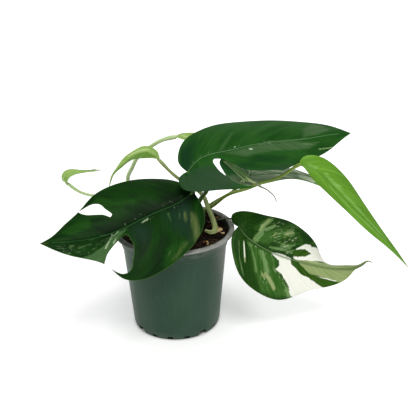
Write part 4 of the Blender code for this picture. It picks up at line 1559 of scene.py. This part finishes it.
GREEN_STALK = StalkFinish("green_petiole", foot=(0.14, 0.18, 0.05), body=(0.035, 0.1, 0.01),
                          light=(0.1, 0.2, 0.035), mark=(0.16, 0.26, 0.07))
OLIVE_STALK = StalkFinish("olive_petiole", foot=(0.2, 0.25, 0.06), body=(0.11, 0.19, 0.015),
                          light=(0.3, 0.41, 0.09), mark=(0.42, 0.5, 0.2), marks=0.3)
PALE_STALK = StalkFinish("pale_petiole", foot=(0.42, 0.32, 0.2), body=(0.19, 0.27, 0.07),
                         light=(0.52, 0.59, 0.25), mark=(0.6, 0.64, 0.36), foot_reach=0.06)
FRESH_STALK = StalkFinish("fresh_petiole", foot=(0.2, 0.26, 0.08), body=(0.32, 0.47, 0.16),
                          light=(0.6, 0.71, 0.42), mark=(0.6, 0.7, 0.45))
GREY_STALK = StalkFinish("grey_petiole", foot=(0.11, 0.12, 0.08), body=(0.06, 0.08, 0.045),
                         light=(0.13, 0.16, 0.1), mark=(0.2, 0.22, 0.15))
STEM_SKIN = StalkFinish("stem_skin", foot=(0.1, 0.09, 0.03), body=(0.06, 0.1, 0.016),
                        light=(0.12, 0.17, 0.035), mark=(0.2, 0.17, 0.08), foot_reach=0.3, marks=0.5)
DRY_TAIL = StalkFinish("dry_tail", foot=(0.26, 0.36, 0.12), body=(0.2, 0.22, 0.14),
                       light=(0.26, 0.27, 0.2), mark=(0.1, 0.09, 0.08))


# ---------------------------------------------------------------- this plant


TOP_BLADE = Blade(
    name="top_leaf", slot="dark_leaf", finish=UPPER_LEAF,
    rib=((12, -10, 142), (21, -4, 150), (45, 2, 155), (67, 4, 159), (106, -4, 165), (126, -13, 171),
         (141, -20, 174)),
    near=((12, -10, 142), (5, -14, 138), (7, -20, 132), (17, -24, 130), (39, -26, 132), (58, -27, 133),
          (68, -27, 135), (81, -26, 143), (93, -25, 149), (105, -24, 153), (121, -22, 159),
          (135, -21, 170), (141, -20, 174)),
    far=((12, -10, 142), (5, 0, 147), (5, 6, 152), (10, 16, 160), (23, 26, 165), (39, 36, 167),
         (67, 38, 169), (98, 28, 171), (126, 4, 174), (141, -20, 174)),
    lobe=0.16, arch=0.06, rib_radius=1.5,
    slits=(
        Slit(Side.NEAR, 0.37, 0.17,
             base_edge=((0.33, 0.35), (0.55, 0.354), (0.67, 0.367), (0.93, 0.42), (1.0, 0.47)),
             tip_edge=((0.2, 0.396), (0.38, 0.433), (0.57, 0.471), (0.72, 0.525), (1.0, 0.63))),
    ),
    marks={
        # Darker green over the lobe behind the base and in a band on the near half, partly painted shade.
        Tone.SHADE_AND_DARK: (
            Mark(((0.0, 0.1), (0.05, 0.5), (0.16, 0.85), (0.25, 0.6), (0.25, 0.2), (0.2, -0.1),
                  (0.12, -0.3), (0.05, -0.2))),
            Mark(((0.45, -0.5), (0.56, -0.5), (0.66, -0.7)), 3.0),
        ),
        # Painted sheen: the grey-green reflection over the near half.
        Tone.BLOOM: (
            Mark(((0.18, -0.15), (0.31, -0.3), (0.42, -0.6), (0.4, -0.9), (0.3, -1.1), (0.15, -1.1),
                  (0.0, -0.6))),
            Mark(((0.42, -0.75), (0.52, -0.85), (0.66, -1.0)), 6.0),
        ),
        # The first two patches are painted sheen, lighter grey-green on the near half and by the tip of the
        # far half; the thin streak is a pale side vein.
        Tone.MOSS_AND_SHEEN: (
            Mark(((0.44, -0.06), (0.62, -0.06), (0.76, -0.08), (0.86, -0.4), (0.8, -0.6), (0.66, -0.4),
                  (0.52, -0.3))),
            Mark(((0.8, 0.12), (0.78, 0.5), (0.79, 0.9), (0.86, 0.85), (0.9, 0.5), (0.86, 0.15))),
            Mark(((0.425, 0.04), (0.438, 0.28), (0.45, 0.52)), 0.7),
        ),
        Tone.ASH_AND_SHEEN: (
            Mark(((0.61, -0.05), (0.66, -0.06)), 1.0),
            Mark(((0.795, -0.3), (0.82, -0.41)), 0.9),
            Mark(((0.64, 0.01), (0.82, 0.02)), 1.6),
        ),
        Tone.LIME: (
            Mark(((0.838, -0.74), (0.865, -0.85), (0.89, -0.96)), 1.3),
        ),
        Tone.DOT: (
            Mark(((0.56, -0.135), (0.564, -0.155)), 1.8),
            Mark(((0.494, 0.05), (0.495, 0.06)), 1.0),
        ),
        Tone.FLECK: (
            Mark(((0.24, 0.06), (0.56, 0.05)), 1.4),
        ),
    },
)
FRONT_BLADE = Blade(
    name="front_leaf", slot="dark_leaf", finish=SHADED_LEAF,
    rib=((16, -12, 125), (5, -20, 120), (-14, -28, 115), (-38, -37, 107), (-62, -45, 102),
         (-85, -50, 102), (-104, -52, 102)),
    near=((16, -12, 125), (23, -24, 117), (23, -42, 108), (12, -58, 97), (-5, -63, 84), (-24, -67, 76),
          (-41, -68, 78), (-52, -66, 88), (-67, -62, 92), (-84, -58, 95), (-104, -52, 102)),
    far=((16, -12, 125), (5, -2, 130), (-18, 0, 133), (-45, -8, 133), (-65, -17, 126), (-76, -28, 117),
         (-86, -37, 111), (-95, -46, 105), (-104, -52, 102)),
    lobe=0.14, arch=0.06, rib_radius=1.4,
    slits=(
        Slit(Side.NEAR, 0.62, 0.17,
             base_edge=((0.3, 0.59), (0.45, 0.575), (0.65, 0.58), (0.9, 0.613), (1.0, 0.687)),
             tip_edge=((0.28, 0.66), (0.42, 0.683), (0.67, 0.708), (1.0, 0.721))),
        Slit(Side.FAR, 0.635, 0.36,
             base_edge=((0.42, 0.617), (0.58, 0.621), (0.77, 0.625), (0.88, 0.654), (1.0, 0.722)),
             tip_edge=((0.5, 0.654), (0.62, 0.683), (0.73, 0.708), (0.87, 0.725), (1.0, 0.73))),
    ),
    marks={
        # Painted shade over the base and along the rib, where the top leaf shades this blade.
        Tone.SHADE_AND_DARK: (
            Mark(((0.0, 0.0), (0.3, 0.0)), 22.0),
            Mark(((0.3, 0.1), (0.7, 0.08)), 7.0),
        ),
        # Painted sheen: bluish reflections on the near half beside the rib.
        Tone.BLOOM: (
            Mark(((0.28, -0.08), (0.22, -0.22), (0.25, -0.6), (0.3, -0.82), (0.34, -0.6), (0.38, -0.4),
                  (0.41, -0.1))),
            Mark(((0.59, -0.05), (0.53, -0.08), (0.49, -0.25), (0.52, -0.42), (0.57, -0.3))),
        ),
        Tone.MOSS_AND_SHEEN: (
            Mark(((0.6, 0.9), (0.56, 0.62), (0.5, 0.5), (0.44, 0.42), (0.5, 0.36), (0.59, 0.55),
                  (0.64, 0.85))),
            Mark(((0.42, -0.72), (0.38, -0.74), (0.34, -0.72), (0.31, -0.9), (0.37, -1.0),
                  (0.45, -0.98))),
            Mark(((0.88, 0.75), (0.78, 0.75), (0.72, 0.62), (0.74, 0.4), (0.86, 0.35))),
        ),
        Tone.OLIVE: (
            Mark(((0.245, -0.42), (0.22, -0.56), (0.225, -0.76), (0.24, -0.98), (0.275, -1.0),
                  (0.275, -0.84), (0.262, -0.62))),
            Mark(((0.288, -0.32), (0.29, -0.46)), 1.0),
            Mark(((0.33, -0.86), (0.4, -0.93)), 0.6),
        ),
        Tone.ASH_AND_SHEEN: (
            Mark(((0.612, -0.04), (0.665, -0.03), (0.7, -0.14), (0.72, -0.36), (0.745, -0.54),
                  (0.775, -0.74), (0.82, -1.02), (0.74, -1.02), (0.712, -0.9), (0.69, -0.5),
                  (0.66, -0.24), (0.635, -0.13))),
            Mark(((0.919, -0.1), (0.888, -0.1)), 1.4),
            Mark(((0.925, -0.72), (0.894, -0.6)), 1.7),
            Mark(((0.87, -0.55), (0.863, -0.35)), 1.2),
            Mark(((0.882, -0.97), (0.868, -0.86)), 1.4),
            Mark(((0.831, -0.52), (0.812, -0.38)), 1.5),
            Mark(((0.785, -0.06), (0.775, 0.0)), 1.2),
            Mark(((0.74, 0.03), (0.718, 0.0)), 1.2),
            Mark(((0.38, -0.14), (0.375, -0.3)), 1.0),
            Mark(((0.312, -0.2), (0.325, -0.35)), 0.8),
        ),
        Tone.STRAW: (
            Mark(((0.98, 0.0), (1.0, 0.0)), 4.4),
        ),
        Tone.CREAM: (
            Mark(((0.69, -0.02), (0.69, -0.15), (0.706, -0.3), (0.718, -0.5)), 1.0),
            Mark(((0.657, -0.02), (0.68, -0.1)), 0.9),
            Mark(((0.666, -0.16), (0.68, -0.34)), 0.9),
            Mark(((0.53, -0.07), (0.498, -0.05)), 0.9),
        ),
        Tone.FLECK: (
            Mark(((0.24, 0.1), (0.62, 0.07)), 1.6),
            Mark(((0.29, -0.04), (0.36, -0.09)), 2.0),
            Mark(((0.46, -0.07), (0.56, -0.05)), 1.4),
            Mark(((0.7, 0.01), (0.8, 0.02)), 1.6),
            Mark(((0.7, -0.1), (0.76, -0.2), (0.86, -0.3), (0.93, -0.3), (0.93, -0.85), (0.86, -0.98),
                  (0.8, -0.8), (0.74, -0.45))),
            Mark(((0.34, -0.8), (0.42, -0.84)), 1.6),
        ),
    },
)
VARIEGATED_BLADE = Blade(
    name="variegated_leaf", slot="variegated_leaf", finish=MARBLED_LEAF,
    rib=((54, -10, 92), (57, -14, 88), (68, -18, 79), (88, -22, 69), (110, -24, 62), (135, -22, 55),
         (152, -18.5, 53), (160, -15.5, 54.4), (165, -14, 57), (169, -14, 55)),
    near=((54, -10, 92), (49, -20, 92), (46, -30, 90), (47, -36, 77), (54, -38, 58), (70, -38, 42),
          (87, -36, 35), (109, -34, 41), (131, -31, 44), (146, -26, 49), (155, -18.5, 53),
          (160.5, -16, 54.2), (165, -14.2, 56.6), (169, -14, 55)),
    far=((54, -10, 92), (51.8, -8, 91.9), (49.8, -5, 92.7), (48.6, -2, 94.8), (48.9, 0, 98), (53, 2, 100),
         (62, 3, 100), (79, 6, 94), (99, 6, 88), (112, 2, 80), (122, -5, 68), (129, -12, 56),
         (146, -15.5, 54.5), (158.5, -14.6, 55), (165, -13.6, 57.4), (169, -14, 55)),
    lobe=0.14, arch=0.05, rib_radius=1.1,
    marks={
        Tone.MOSS_AND_SHEEN: (
            Mark(((0.34, 0.08), (0.335, 0.35), (0.36, 0.5), (0.41, 0.66), (0.46, 0.8), (0.51, 0.82),
                  (0.5, 0.6), (0.456, 0.45), (0.42, 0.32), (0.4, 0.12))),
            Mark(((0.26, -0.08), (0.36, -0.04), (0.44, 0.0), (0.49, -0.15), (0.48, -0.32), (0.51, -0.45),
                  (0.54, -0.62), (0.55, -0.8), (0.54, -0.95), (0.42, -0.93), (0.39, -0.75), (0.34, -0.45),
                  (0.3, -0.22))),
            Mark(((0.12, -0.5), (0.15, -0.88), (0.24, -0.95)), 2.0),
            Mark(((0.44, 0.3), (0.5, 0.34), (0.56, 0.6), (0.52, 0.75)), 1.4),
            Mark(((0.4, 0.6), (0.45, 0.9), (0.5, 0.98)), 1.6),
            Mark(((0.28, 0.4), (0.3, 0.7), (0.34, 0.96)), 1.2),
        ),
        Tone.ASH_AND_SHEEN: (
            Mark(((0.319, 0.08), (0.325, 0.35), (0.314, 0.6), (0.33, 0.86)), 4.4),
            Mark(((0.338, 0.5), (0.37, 0.7)), 3.0),
            Mark(((0.38, -0.14), (0.412, -0.3), (0.426, -0.46)), 4.0),
            Mark(((0.544, -0.78), (0.562, -0.93)), 3.0),
            Mark(((0.45, 0.12), (0.5, 0.2), (0.52, 0.3), (0.47, 0.3)), 1.6),
            Mark(((0.42, 0.1), (0.46, 0.14), (0.52, 0.18), (0.556, 0.33)), 1.3),
            Mark(((0.47, 0.22), (0.5, 0.3), (0.53, 0.42)), 1.0),
            Mark(((0.4, 0.45), (0.44, 0.6), (0.47, 0.8)), 0.9),
            Mark(((0.3, -0.1), (0.34, -0.35), (0.37, -0.6)), 1.4),
            Mark(((0.46, -0.14), (0.47, -0.25), (0.48, -0.4)), 0.9),
            Mark(((0.2, -0.4), (0.24, -0.7), (0.3, -0.9)), 0.9),
        ),
        Tone.LIME: (
            Mark(((0.313, 0.42), (0.31, 0.6), (0.325, 0.84)), 2.0),
            Mark(((0.456, 0.6), (0.481, 0.73)), 2.0),
            Mark(((0.4, 0.4), (0.406, 0.52)), 1.2),
            Mark(((0.394, -0.5), (0.402, -0.62), (0.425, -0.66), (0.425, -0.6))),
            Mark(((0.425, -0.55), (0.45, -0.62), (0.478, -0.76)), 2.6),
            Mark(((0.57, 0.02), (0.61, 0.06), (0.7, 0.38), (0.76, 1.05), (1.05, 1.05), (1.05, -1.05),
                  (0.8, -1.05), (0.76, -0.72), (0.7, -0.46), (0.655, -0.38), (0.63, -0.2), (0.6, -0.02))),
            Mark(((0.244, -0.2), (0.263, -0.4), (0.288, -0.62)), 1.5),
        ),
        Tone.CREAM: (
            Mark(((0.246, -0.22), (0.263, -0.4), (0.28, -0.54)), 1.0),
            Mark(((0.548, 0.36), (0.562, 0.52), (0.575, 0.66), (0.6, 0.76), (0.613, 0.74), (0.64, 0.95),
                  (0.68, 1.05), (0.74, 1.05), (0.71, 0.6), (0.69, 0.4), (0.66, 0.2), (0.6, 0.04),
                  (0.57, 0.04))),
            Mark(((0.7, 0.7), (0.763, 0.92), (0.831, 0.96)), 2.0),
            Mark(((0.69, -0.5), (0.74, -0.6), (0.78, -0.8)), 1.2),
            Mark(((0.444, 0.0), (0.5, 0.06), (0.56, 0.03), (0.562, -0.12), (0.588, -0.22), (0.613, -0.4),
                  (0.65, -0.52), (0.675, -0.66), (0.705, -0.9), (0.73, -1.05), (0.58, -1.05),
                  (0.558, -0.85), (0.556, -0.72), (0.537, -0.57), (0.513, -0.42), (0.475, -0.34),
                  (0.497, -0.24), (0.494, -0.12), (0.463, -0.07))),
        ),
        Tone.FLECK: (
            Mark(((0.35, 0.3), (0.34, 0.6), (0.37, 0.86), (0.47, 0.86), (0.53, 0.62), (0.56, 0.34),
                  (0.55, 0.12), (0.44, 0.07), (0.4, 0.18))),
            Mark(((0.28, -0.1), (0.36, -0.1), (0.44, -0.08)), 3.4),
            Mark(((0.36, -0.24), (0.4, -0.6), (0.46, -0.8)), 3.0),
            Mark(((0.42, -0.2), (0.5, -0.44), (0.54, -0.7)), 1.8),
        ),
        Tone.PINE: (
            Mark(((0.562, 0.02), (0.6, -0.04), (0.63, -0.22), (0.656, -0.4), (0.7, -0.5), (0.74, -0.64),
                  (0.775, -0.82), (0.81, -1.05), (0.735, -1.05), (0.705, -0.9), (0.68, -0.72),
                  (0.65, -0.5), (0.613, -0.38), (0.588, -0.22), (0.562, -0.12))),
            Mark(((0.55, 0.14), (0.545, 0.32), (0.585, 0.5), (0.63, 0.5), (0.62, 0.28), (0.585, 0.12))),
            Mark(((0.6, 0.84), (0.625, 0.88), (0.655, 1.0), (0.6, 1.05))),
        ),
        Tone.STRAW: (
            Mark(((0.66, 0.14), (0.744, 0.44), (0.84, 0.4), (0.9, 0.34)), 2.2),
        ),
    },
)
YOUNG_BLADE = Blade(
    name="young_leaf", slot="young_leaf", finish=YOUNG_LEAF,
    rib=((99, -31, 154), (110, -35, 150), (121, -37, 140), (136, -39, 124), (153, -40, 107),
         (171, -41, 88), (191, -41, 64)),
    near=((99, -31, 154), (103, -34, 151), (108, -37, 144), (114, -39, 138), (134, -43, 119),
          (156, -45, 98), (179, -43, 77), (191, -41, 64)),
    far=((99, -31, 154), (102, -29, 158), (113, -28, 159), (128, -28, 150), (143, -30, 133),
         (157, -33, 112), (175, -37, 87), (191, -41, 64)),
    lobe=0.03, arch=0.05, rows=110, columns=22, veins=9.0, quilt=0.06, ripple=0.2, slant=2.6,
    rib_radius=0.9,
    marks={
        Tone.SHADE_AND_DARK: (
            Mark(((0.55, 0.5), (0.8, 0.4), (1.0, 0.0)), 2.0),
            Mark(((0.3, 1.0), (0.7, 1.0), (1.0, 0.6)), 2.0),
            Mark(((0.0, -0.5), (0.2, -0.9), (0.4, -1.0)), 2.0),
        ),
        Tone.ASH_AND_SHEEN: (
            Mark(((0.25, 0.2), (0.5, 0.24), (0.8, 0.2)), 1.0),
            Mark(((0.3, -0.3), (0.6, -0.4), (0.85, -0.3)), 0.9),
            Mark(((0.12, 0.1), (0.18, 0.14)), 1.2),
        ),
    },
)
BACK_BLADE = Blade(
    name="back_leaf", slot="back_leaf", finish=BACK_LEAF,
    rib=((59, 6, 130), (75, 12, 129), (95, 10, 130), (110, 2, 131), (121, -7, 129), (130, -14, 123)),
    near=((59, 6, 130), (52, 8, 140), (45, 8, 147), (39, 5, 145), (41, 3, 139), (45, 3, 132),
          (51, -2, 127), (60, -6.5, 126.6), (72, -8, 128.6), (89, -6, 131), (103, -9, 132),
          (116, -12, 129), (130, -14, 123)),
    far=((59, 6, 130), (50, 16, 131), (47, 28, 133), (59, 36, 130), (79, 38, 127), (98, 30, 128),
         (108, 14, 131), (121, -2, 129), (130, -14, 123)),
    lobe=0.2, arch=0.04, rows=110, columns=28, veins=9.0, ripple=0.3, rib_radius=1.1, slant=1.7,
    marks={
        # Painted sheen and painted light: the pale grey-green of the outer blade.
        Tone.MOSS_AND_SHEEN: (
            Mark(((0.32, -1.1), (1.1, -1.1), (1.1, 1.1), (0.32, 1.1))),
        ),
        Tone.SHADE_AND_DARK: (
            Mark(((0.5, -0.6), (0.7, -0.8), (0.95, -0.8)), 3.0),
        ),
        # Painted sheen: whitish streaks of reflection.
        Tone.ASH_AND_SHEEN: (
            Mark(((0.3, 0.68), (0.44, 0.6), (0.52, 0.36), (0.6, 0.22)), 3.0),
            Mark(((0.63, 0.8), (0.72, 0.3), (0.75, -0.2), (0.775, -0.75), (0.87, -0.95), (0.9, -0.6),
                  (0.83, -0.2), (0.78, 0.2), (0.7, 0.8))),
            Mark(((0.57, -0.1), (0.66, -0.5), (0.74, -0.85)), 2.0),
            Mark(((0.36, 0.3), (0.47, 0.1)), 1.2),
        ),
    },
)
MID_LEFT_BLADE = Blade(
    name="mid_left_leaf", slot="pale_leaf", finish=PALE_LEAF,
    rib=((-11, 30, 139), (-19, 32, 147), (-30, 31, 145), (-41, 28, 138), (-50, 26, 130), (-55, 24, 118)),
    near=((-11, 30, 139), (-17, 26, 142), (-24, 24, 143), (-31, 23, 143), (-38, 23, 140), (-45, 24, 134),
          (-51, 24, 128), (-55, 24, 118)),
    far=((-11, 30, 139), (-13, 35, 145), (-22, 38, 149), (-33, 36, 146), (-40, 33, 142), (-49, 29, 132),
         (-52, 27, 128), (-55, 24, 118)),
    lobe=0.04, arch=0.05, rows=60, columns=14, veins=8.0, quilt=0.1, ripple=0.15, rib_radius=0.8,
    marks={
        Tone.PINE: (
            Mark(((0.1, -0.4), (0.3, -0.3), (0.6, -0.35), (0.85, -0.3), (0.8, -1.05), (0.2, -1.05))),
        ),
        Tone.CREAM: (
            Mark(((0.3, 0.1), (0.45, 0.3), (0.56, 0.5)), 1.2),
        ),
    },
)
ARCHING_BLADE = Blade(
    name="arching_leaf", slot="pale_leaf", finish=PALE_LEAF,
    rib=((3, 50, 153), (11, 52, 154), (21, 54, 151), (30, 54, 146)),
    near=((3, 50, 153), (8, 47, 152), (14, 47, 150), (23, 50, 146), (30, 54, 146)),
    far=((3, 50, 153), (6, 53, 154), (13, 57, 154), (23, 57, 153), (30, 54, 146)),
    lobe=0.04, arch=0.05, rows=40, columns=12, veins=6.0, quilt=0.1, ripple=0.1, rib_radius=0.7,
    marks={
        Tone.CREAM: (
            Mark(((0.3, -0.2), (0.5, -0.5)), 1.2),
        ),
    },
)
FAR_LEFT_BLADE = Blade(
    name="far_left_leaf", slot="pale_leaf", finish=PALE_LEAF,
    rib=((-90, 26, 121), (-93, 26, 128), (-87, 26, 133), (-77, 26, 132), (-69, 26, 133), (-62, 26, 132)),
    near=((-90, 26, 121), (-90, 22, 125), (-87, 21, 129), (-83, 21, 131), (-75, 23, 132), (-67, 25, 132),
          (-62, 26, 132)),
    far=((-90, 26, 121), (-95, 28, 124), (-95, 29, 128), (-91.5, 30, 131.6), (-85.5, 29.5, 133),
         (-79.5, 27.6, 132.7), (-72, 26.8, 132.7), (-62, 26, 132)),
    lobe=0.04, arch=0.05, rows=50, columns=12, veins=7.0, quilt=0.1, ripple=0.1, rib_radius=0.7,
    marks={
        Tone.PINE: (
            Mark(((0.68, 0.0), (0.8, 0.1), (0.95, 0.0)), 3.0),
            Mark(((0.0, -0.3), (0.06, -0.8)), 1.6),
        ),
    },
)
DRIED_SHEATH_BLADE = Blade(
    name="dried_sheath", slot="dry_sheath", finish=SHEATH_SKIN,
    rib=((69, -9, 131.3), (61, -7, 134), (52, -4, 140), (41, 0, 147)),
    near=((69, -9, 131.3), (65, -9, 131), (58, -8, 133), (52, -6, 138), (46, -3, 143), (41, 0, 147)),
    far=((69, -9, 131.3), (64, -6.5, 132.6), (60, -4.5, 138), (53.5, -3, 142.6), (47, -1.5, 146.6),
         (41, 0, 147)),
    lobe=0.0, arch=0.05, rows=60, columns=12, veins=3.0, quilt=0.25, furrow=0.2, thickness=0.3,
    rib_radius=0.4,
)


@dataclass(frozen=True)
class Foliage:
    """All the blades, each with the midrib that stands out under it."""

    blades: tuple[Blade, ...] = (TOP_BLADE, FRONT_BLADE, VARIEGATED_BLADE, YOUNG_BLADE, BACK_BLADE,
                                 MID_LEFT_BLADE, ARCHING_BLADE, FAR_LEFT_BLADE, DRIED_SHEATH_BLADE)

    def build(self) -> None:
        """Build every blade and midrib."""
        skins = {"dark_leaf": GREEN_STALK, "young_leaf": OLIVE_STALK, "back_leaf": OLIVE_STALK,
                 "pale_leaf": FRESH_STALK}
        for blade in self.blades:
            blade.build()
            blade.build_rib(skins.get(blade.slot, PALE_STALK), blade.slot)


STALKS = (
    Stalk("main_stem", "green_petiole", STEM_SKIN, 3.2, 2.8,
          ((5, 31, 82), (7, 27, 92), (10, 19, 103)), knee=0.1, groove=0.05, rings=(0.45, 0.8)),
    Stalk("front_petiole", "green_petiole", GREEN_STALK, 2.2, 1.6,
          ((10, 19, 101), (11.5, 15.6, 106.8), (14, 4, 116), (16, -9, 123), (15, -13, 123.6)),
          upper=(0, -1, 1)),
    Stalk("top_petiole", "green_petiole", GREEN_STALK, 2.0, 1.8,
          ((13, 38, 82), (22, 20, 103), (25, 12, 112), (28, 4, 120), (25, -3, 130),
           (19, -8, 136), (12.5, -10, 140.6)), upper=(0, -1, 1)),
    Stalk("young_petiole", "green_petiole", OLIVE_STALK, 1.7, 1.2,
          ((16, 27, 82), (29, 26, 93), (34, 22, 98), (44, 9, 112), (51, 0, 119), (62, -7, 125),
           (73, -11, 131), (84, -15, 136), (90, -19, 141), (97, -27, 150), (99.5, -31, 153)),
          upper=(0, -1, 1)),
    Stalk("back_petiole", "green_petiole", OLIVE_STALK, 1.6, 1.3,
          ((21, 36, 82), (29, 32, 92), (44, 18, 108), (53, 10, 118), (59, 6, 129)),
          upper=(0, -1, 1)),
    Stalk("variegated_petiole", "pale_petiole", GREY_STALK, 0.9, 0.8,
          ((34, 25, 83), (38.2, 20, 85.4), (43, 11, 89.9), (47.8, 5.5, 92.6), (50.6, 0.5, 93.2),
           (53, -6, 92), (54, -9, 91.5)), knee=0.25),
    Stalk("mid_left_petiole", "pale_petiole", PALE_STALK, 2.6, 1.4,
          ((26.5, -5, 86.8), (29.5, -8, 86.8), (32.5, -7.6, 87), (34, -5, 88.3), (33.6, 0, 91),
           (32.3, 6, 94), (30.2, 12, 97.8), (28.4, 17.5, 101.9), (26.4, 22.6, 106.2), (21, 26.5, 111.5),
           (12, 29, 117), (4, 29, 122.6), (-2, 30, 128), (-8, 30, 135), (-11, 30, 138.6)),
          upper=(0, -1, 0), groove=0.3, wings=0.3, taper=0.5),
    Stalk("arching_petiole", "pale_petiole", FRESH_STALK, 2.1, 1.7,
          ((-20, 30, 82), (-25, 36, 93), (-33, 43, 101), (-39, 47, 109), (-40, 49, 117),
           (-36, 50, 125), (-32, 50, 133), (-26, 50, 139), (-18, 50, 145), (-6, 50, 151),
           (3, 50, 152.7)), upper=(1, 0, 0)),
    Stalk("far_left_petiole", "pale_petiole", FRESH_STALK, 1.4, 1.15,
          ((-10, 30, 82), (-20, 31, 92), (-38, 30, 101), (-55, 27, 106), (-70, 25, 110),
           (-77, 25, 112), (-84, 25, 116), (-90, 26, 121)), upper=(0, 0, 1)),
    Stalk("dried_tip", "dry_sheath", DRY_TAIL, 0.95, 0.4,
          ((68.5, -10, 130), (70.6, -12, 128.2), (73.5, -13, 127.3), (78.5, -14.3, 124.2),
           (82.5, -15, 120), (84.3, -15, 115.6)), knee=0.0, groove=0.3),
)


@dataclass(frozen=True)
class Stalks:
    """The stem, the petioles and the dried tail."""

    stalks: tuple[Stalk, ...] = STALKS

    def build(self) -> None:
        """Build them all."""
        for stalk in self.stalks:
            stalk.build()


@dataclass(frozen=True)
class Tatters:
    """Thin dry strands: the torn edge of the old sheath, and the withered ends of leaf tips."""

    strands: tuple[tuple[float, tuple[Point, ...]], ...] = (
        (0.45, ((44.7, 0, 146.5), (50.6, -2, 142.4), (56.8, -4, 138.3), (60.4, -6, 134.2),
                (68.3, -9, 129.7))),
        (0.4, ((58.1, -3, 142.3), (61.2, -3.5, 142), (62.8, -4.5, 139.6), (62.3, -5.5, 136.6),
               (60.3, -7, 134.3))),
        (0.4, ((55.8, -8, 131.3), (58, -7, 133.6), (60.3, -6.5, 135.7))),
        (0.36, ((57.6, -8.5, 131.2), (59.2, -7.5, 132.8), (61.3, -7, 134.5))),
        (0.7, ((60.5, -7.5, 134.4), (64.5, -9, 132), (69, -10.5, 129.9), (73, -12.5, 127.8))),
        (0.4, ((61.5, -8.5, 132.8), (65, -9.6, 130.6), (67.5, -10.5, 128.6))),
    )
    tips: tuple[tuple[float, tuple[Point, ...]], ...] = (
        (0.55, ((154.2, -17, 51.8), (160.5, -15, 54.4), (164.5, -14, 57), (166.5, -14, 57.2),
                (168.1, -14, 55.7), (168.4, -14, 54.6))),
        (0.5, ((-51.7, 26, 127.6), (-53.1, 25.5, 123.9), (-54.5, 25, 120.2), (-54.8, 25, 117.5))),
        (0.45, ((-77.1, 26, 131.7), (-70.9, 26, 132.8), (-65.9, 26, 133.6), (-63.5, 26, 133.8),
                (-61.8, 26, 132.3))),
    )

    def build(self) -> None:
        """Build the strands and the tips."""
        dry = StalkFinish("dry_strand", foot=(0.3, 0.38, 0.15), body=(0.42, 0.52, 0.22),
                          light=(0.62, 0.7, 0.38), mark=(0.34, 0.3, 0.16), roughness=0.6)
        withered = StalkFinish("withered_tip", foot=(0.4, 0.44, 0.24), body=(0.13, 0.12, 0.08),
                               light=(0.22, 0.2, 0.14), mark=(0.05, 0.035, 0.025), foot_reach=0.3,
                               roughness=0.6)
        self._gather("sheath_strands", self.strands, dry)
        self._gather("withered_tips", self.tips, withered)

    def _gather(self, name: str, lines: Sequence[tuple[float, tuple[Point, ...]]],
                finish: StalkFinish) -> None:
        """Sweep some thin lines into one piece."""
        tube = TubeMesh()
        for radius, points in lines:
            shares = np.linspace(0.0, 1.0, 24)
            middles, radii = rounded_ends(Guide(points).at(shares), radius * (1 - 0.6 * shares))
            tube.sweep(middles, radii, sides=8)
        enlist(tube.finished(name, finish.material()), "dry_sheath")


def main() -> None:
    """Build the stage, the pot, the mix and the plant."""
    logging.basicConfig(level=logging.INFO, format="%(name)s %(message)s")
    for builder in (Studio(), Pot(), PottingMix(), Foliage(), Stalks(), Tatters()):
        builder.build()


if __name__ == "__main__":
    main()
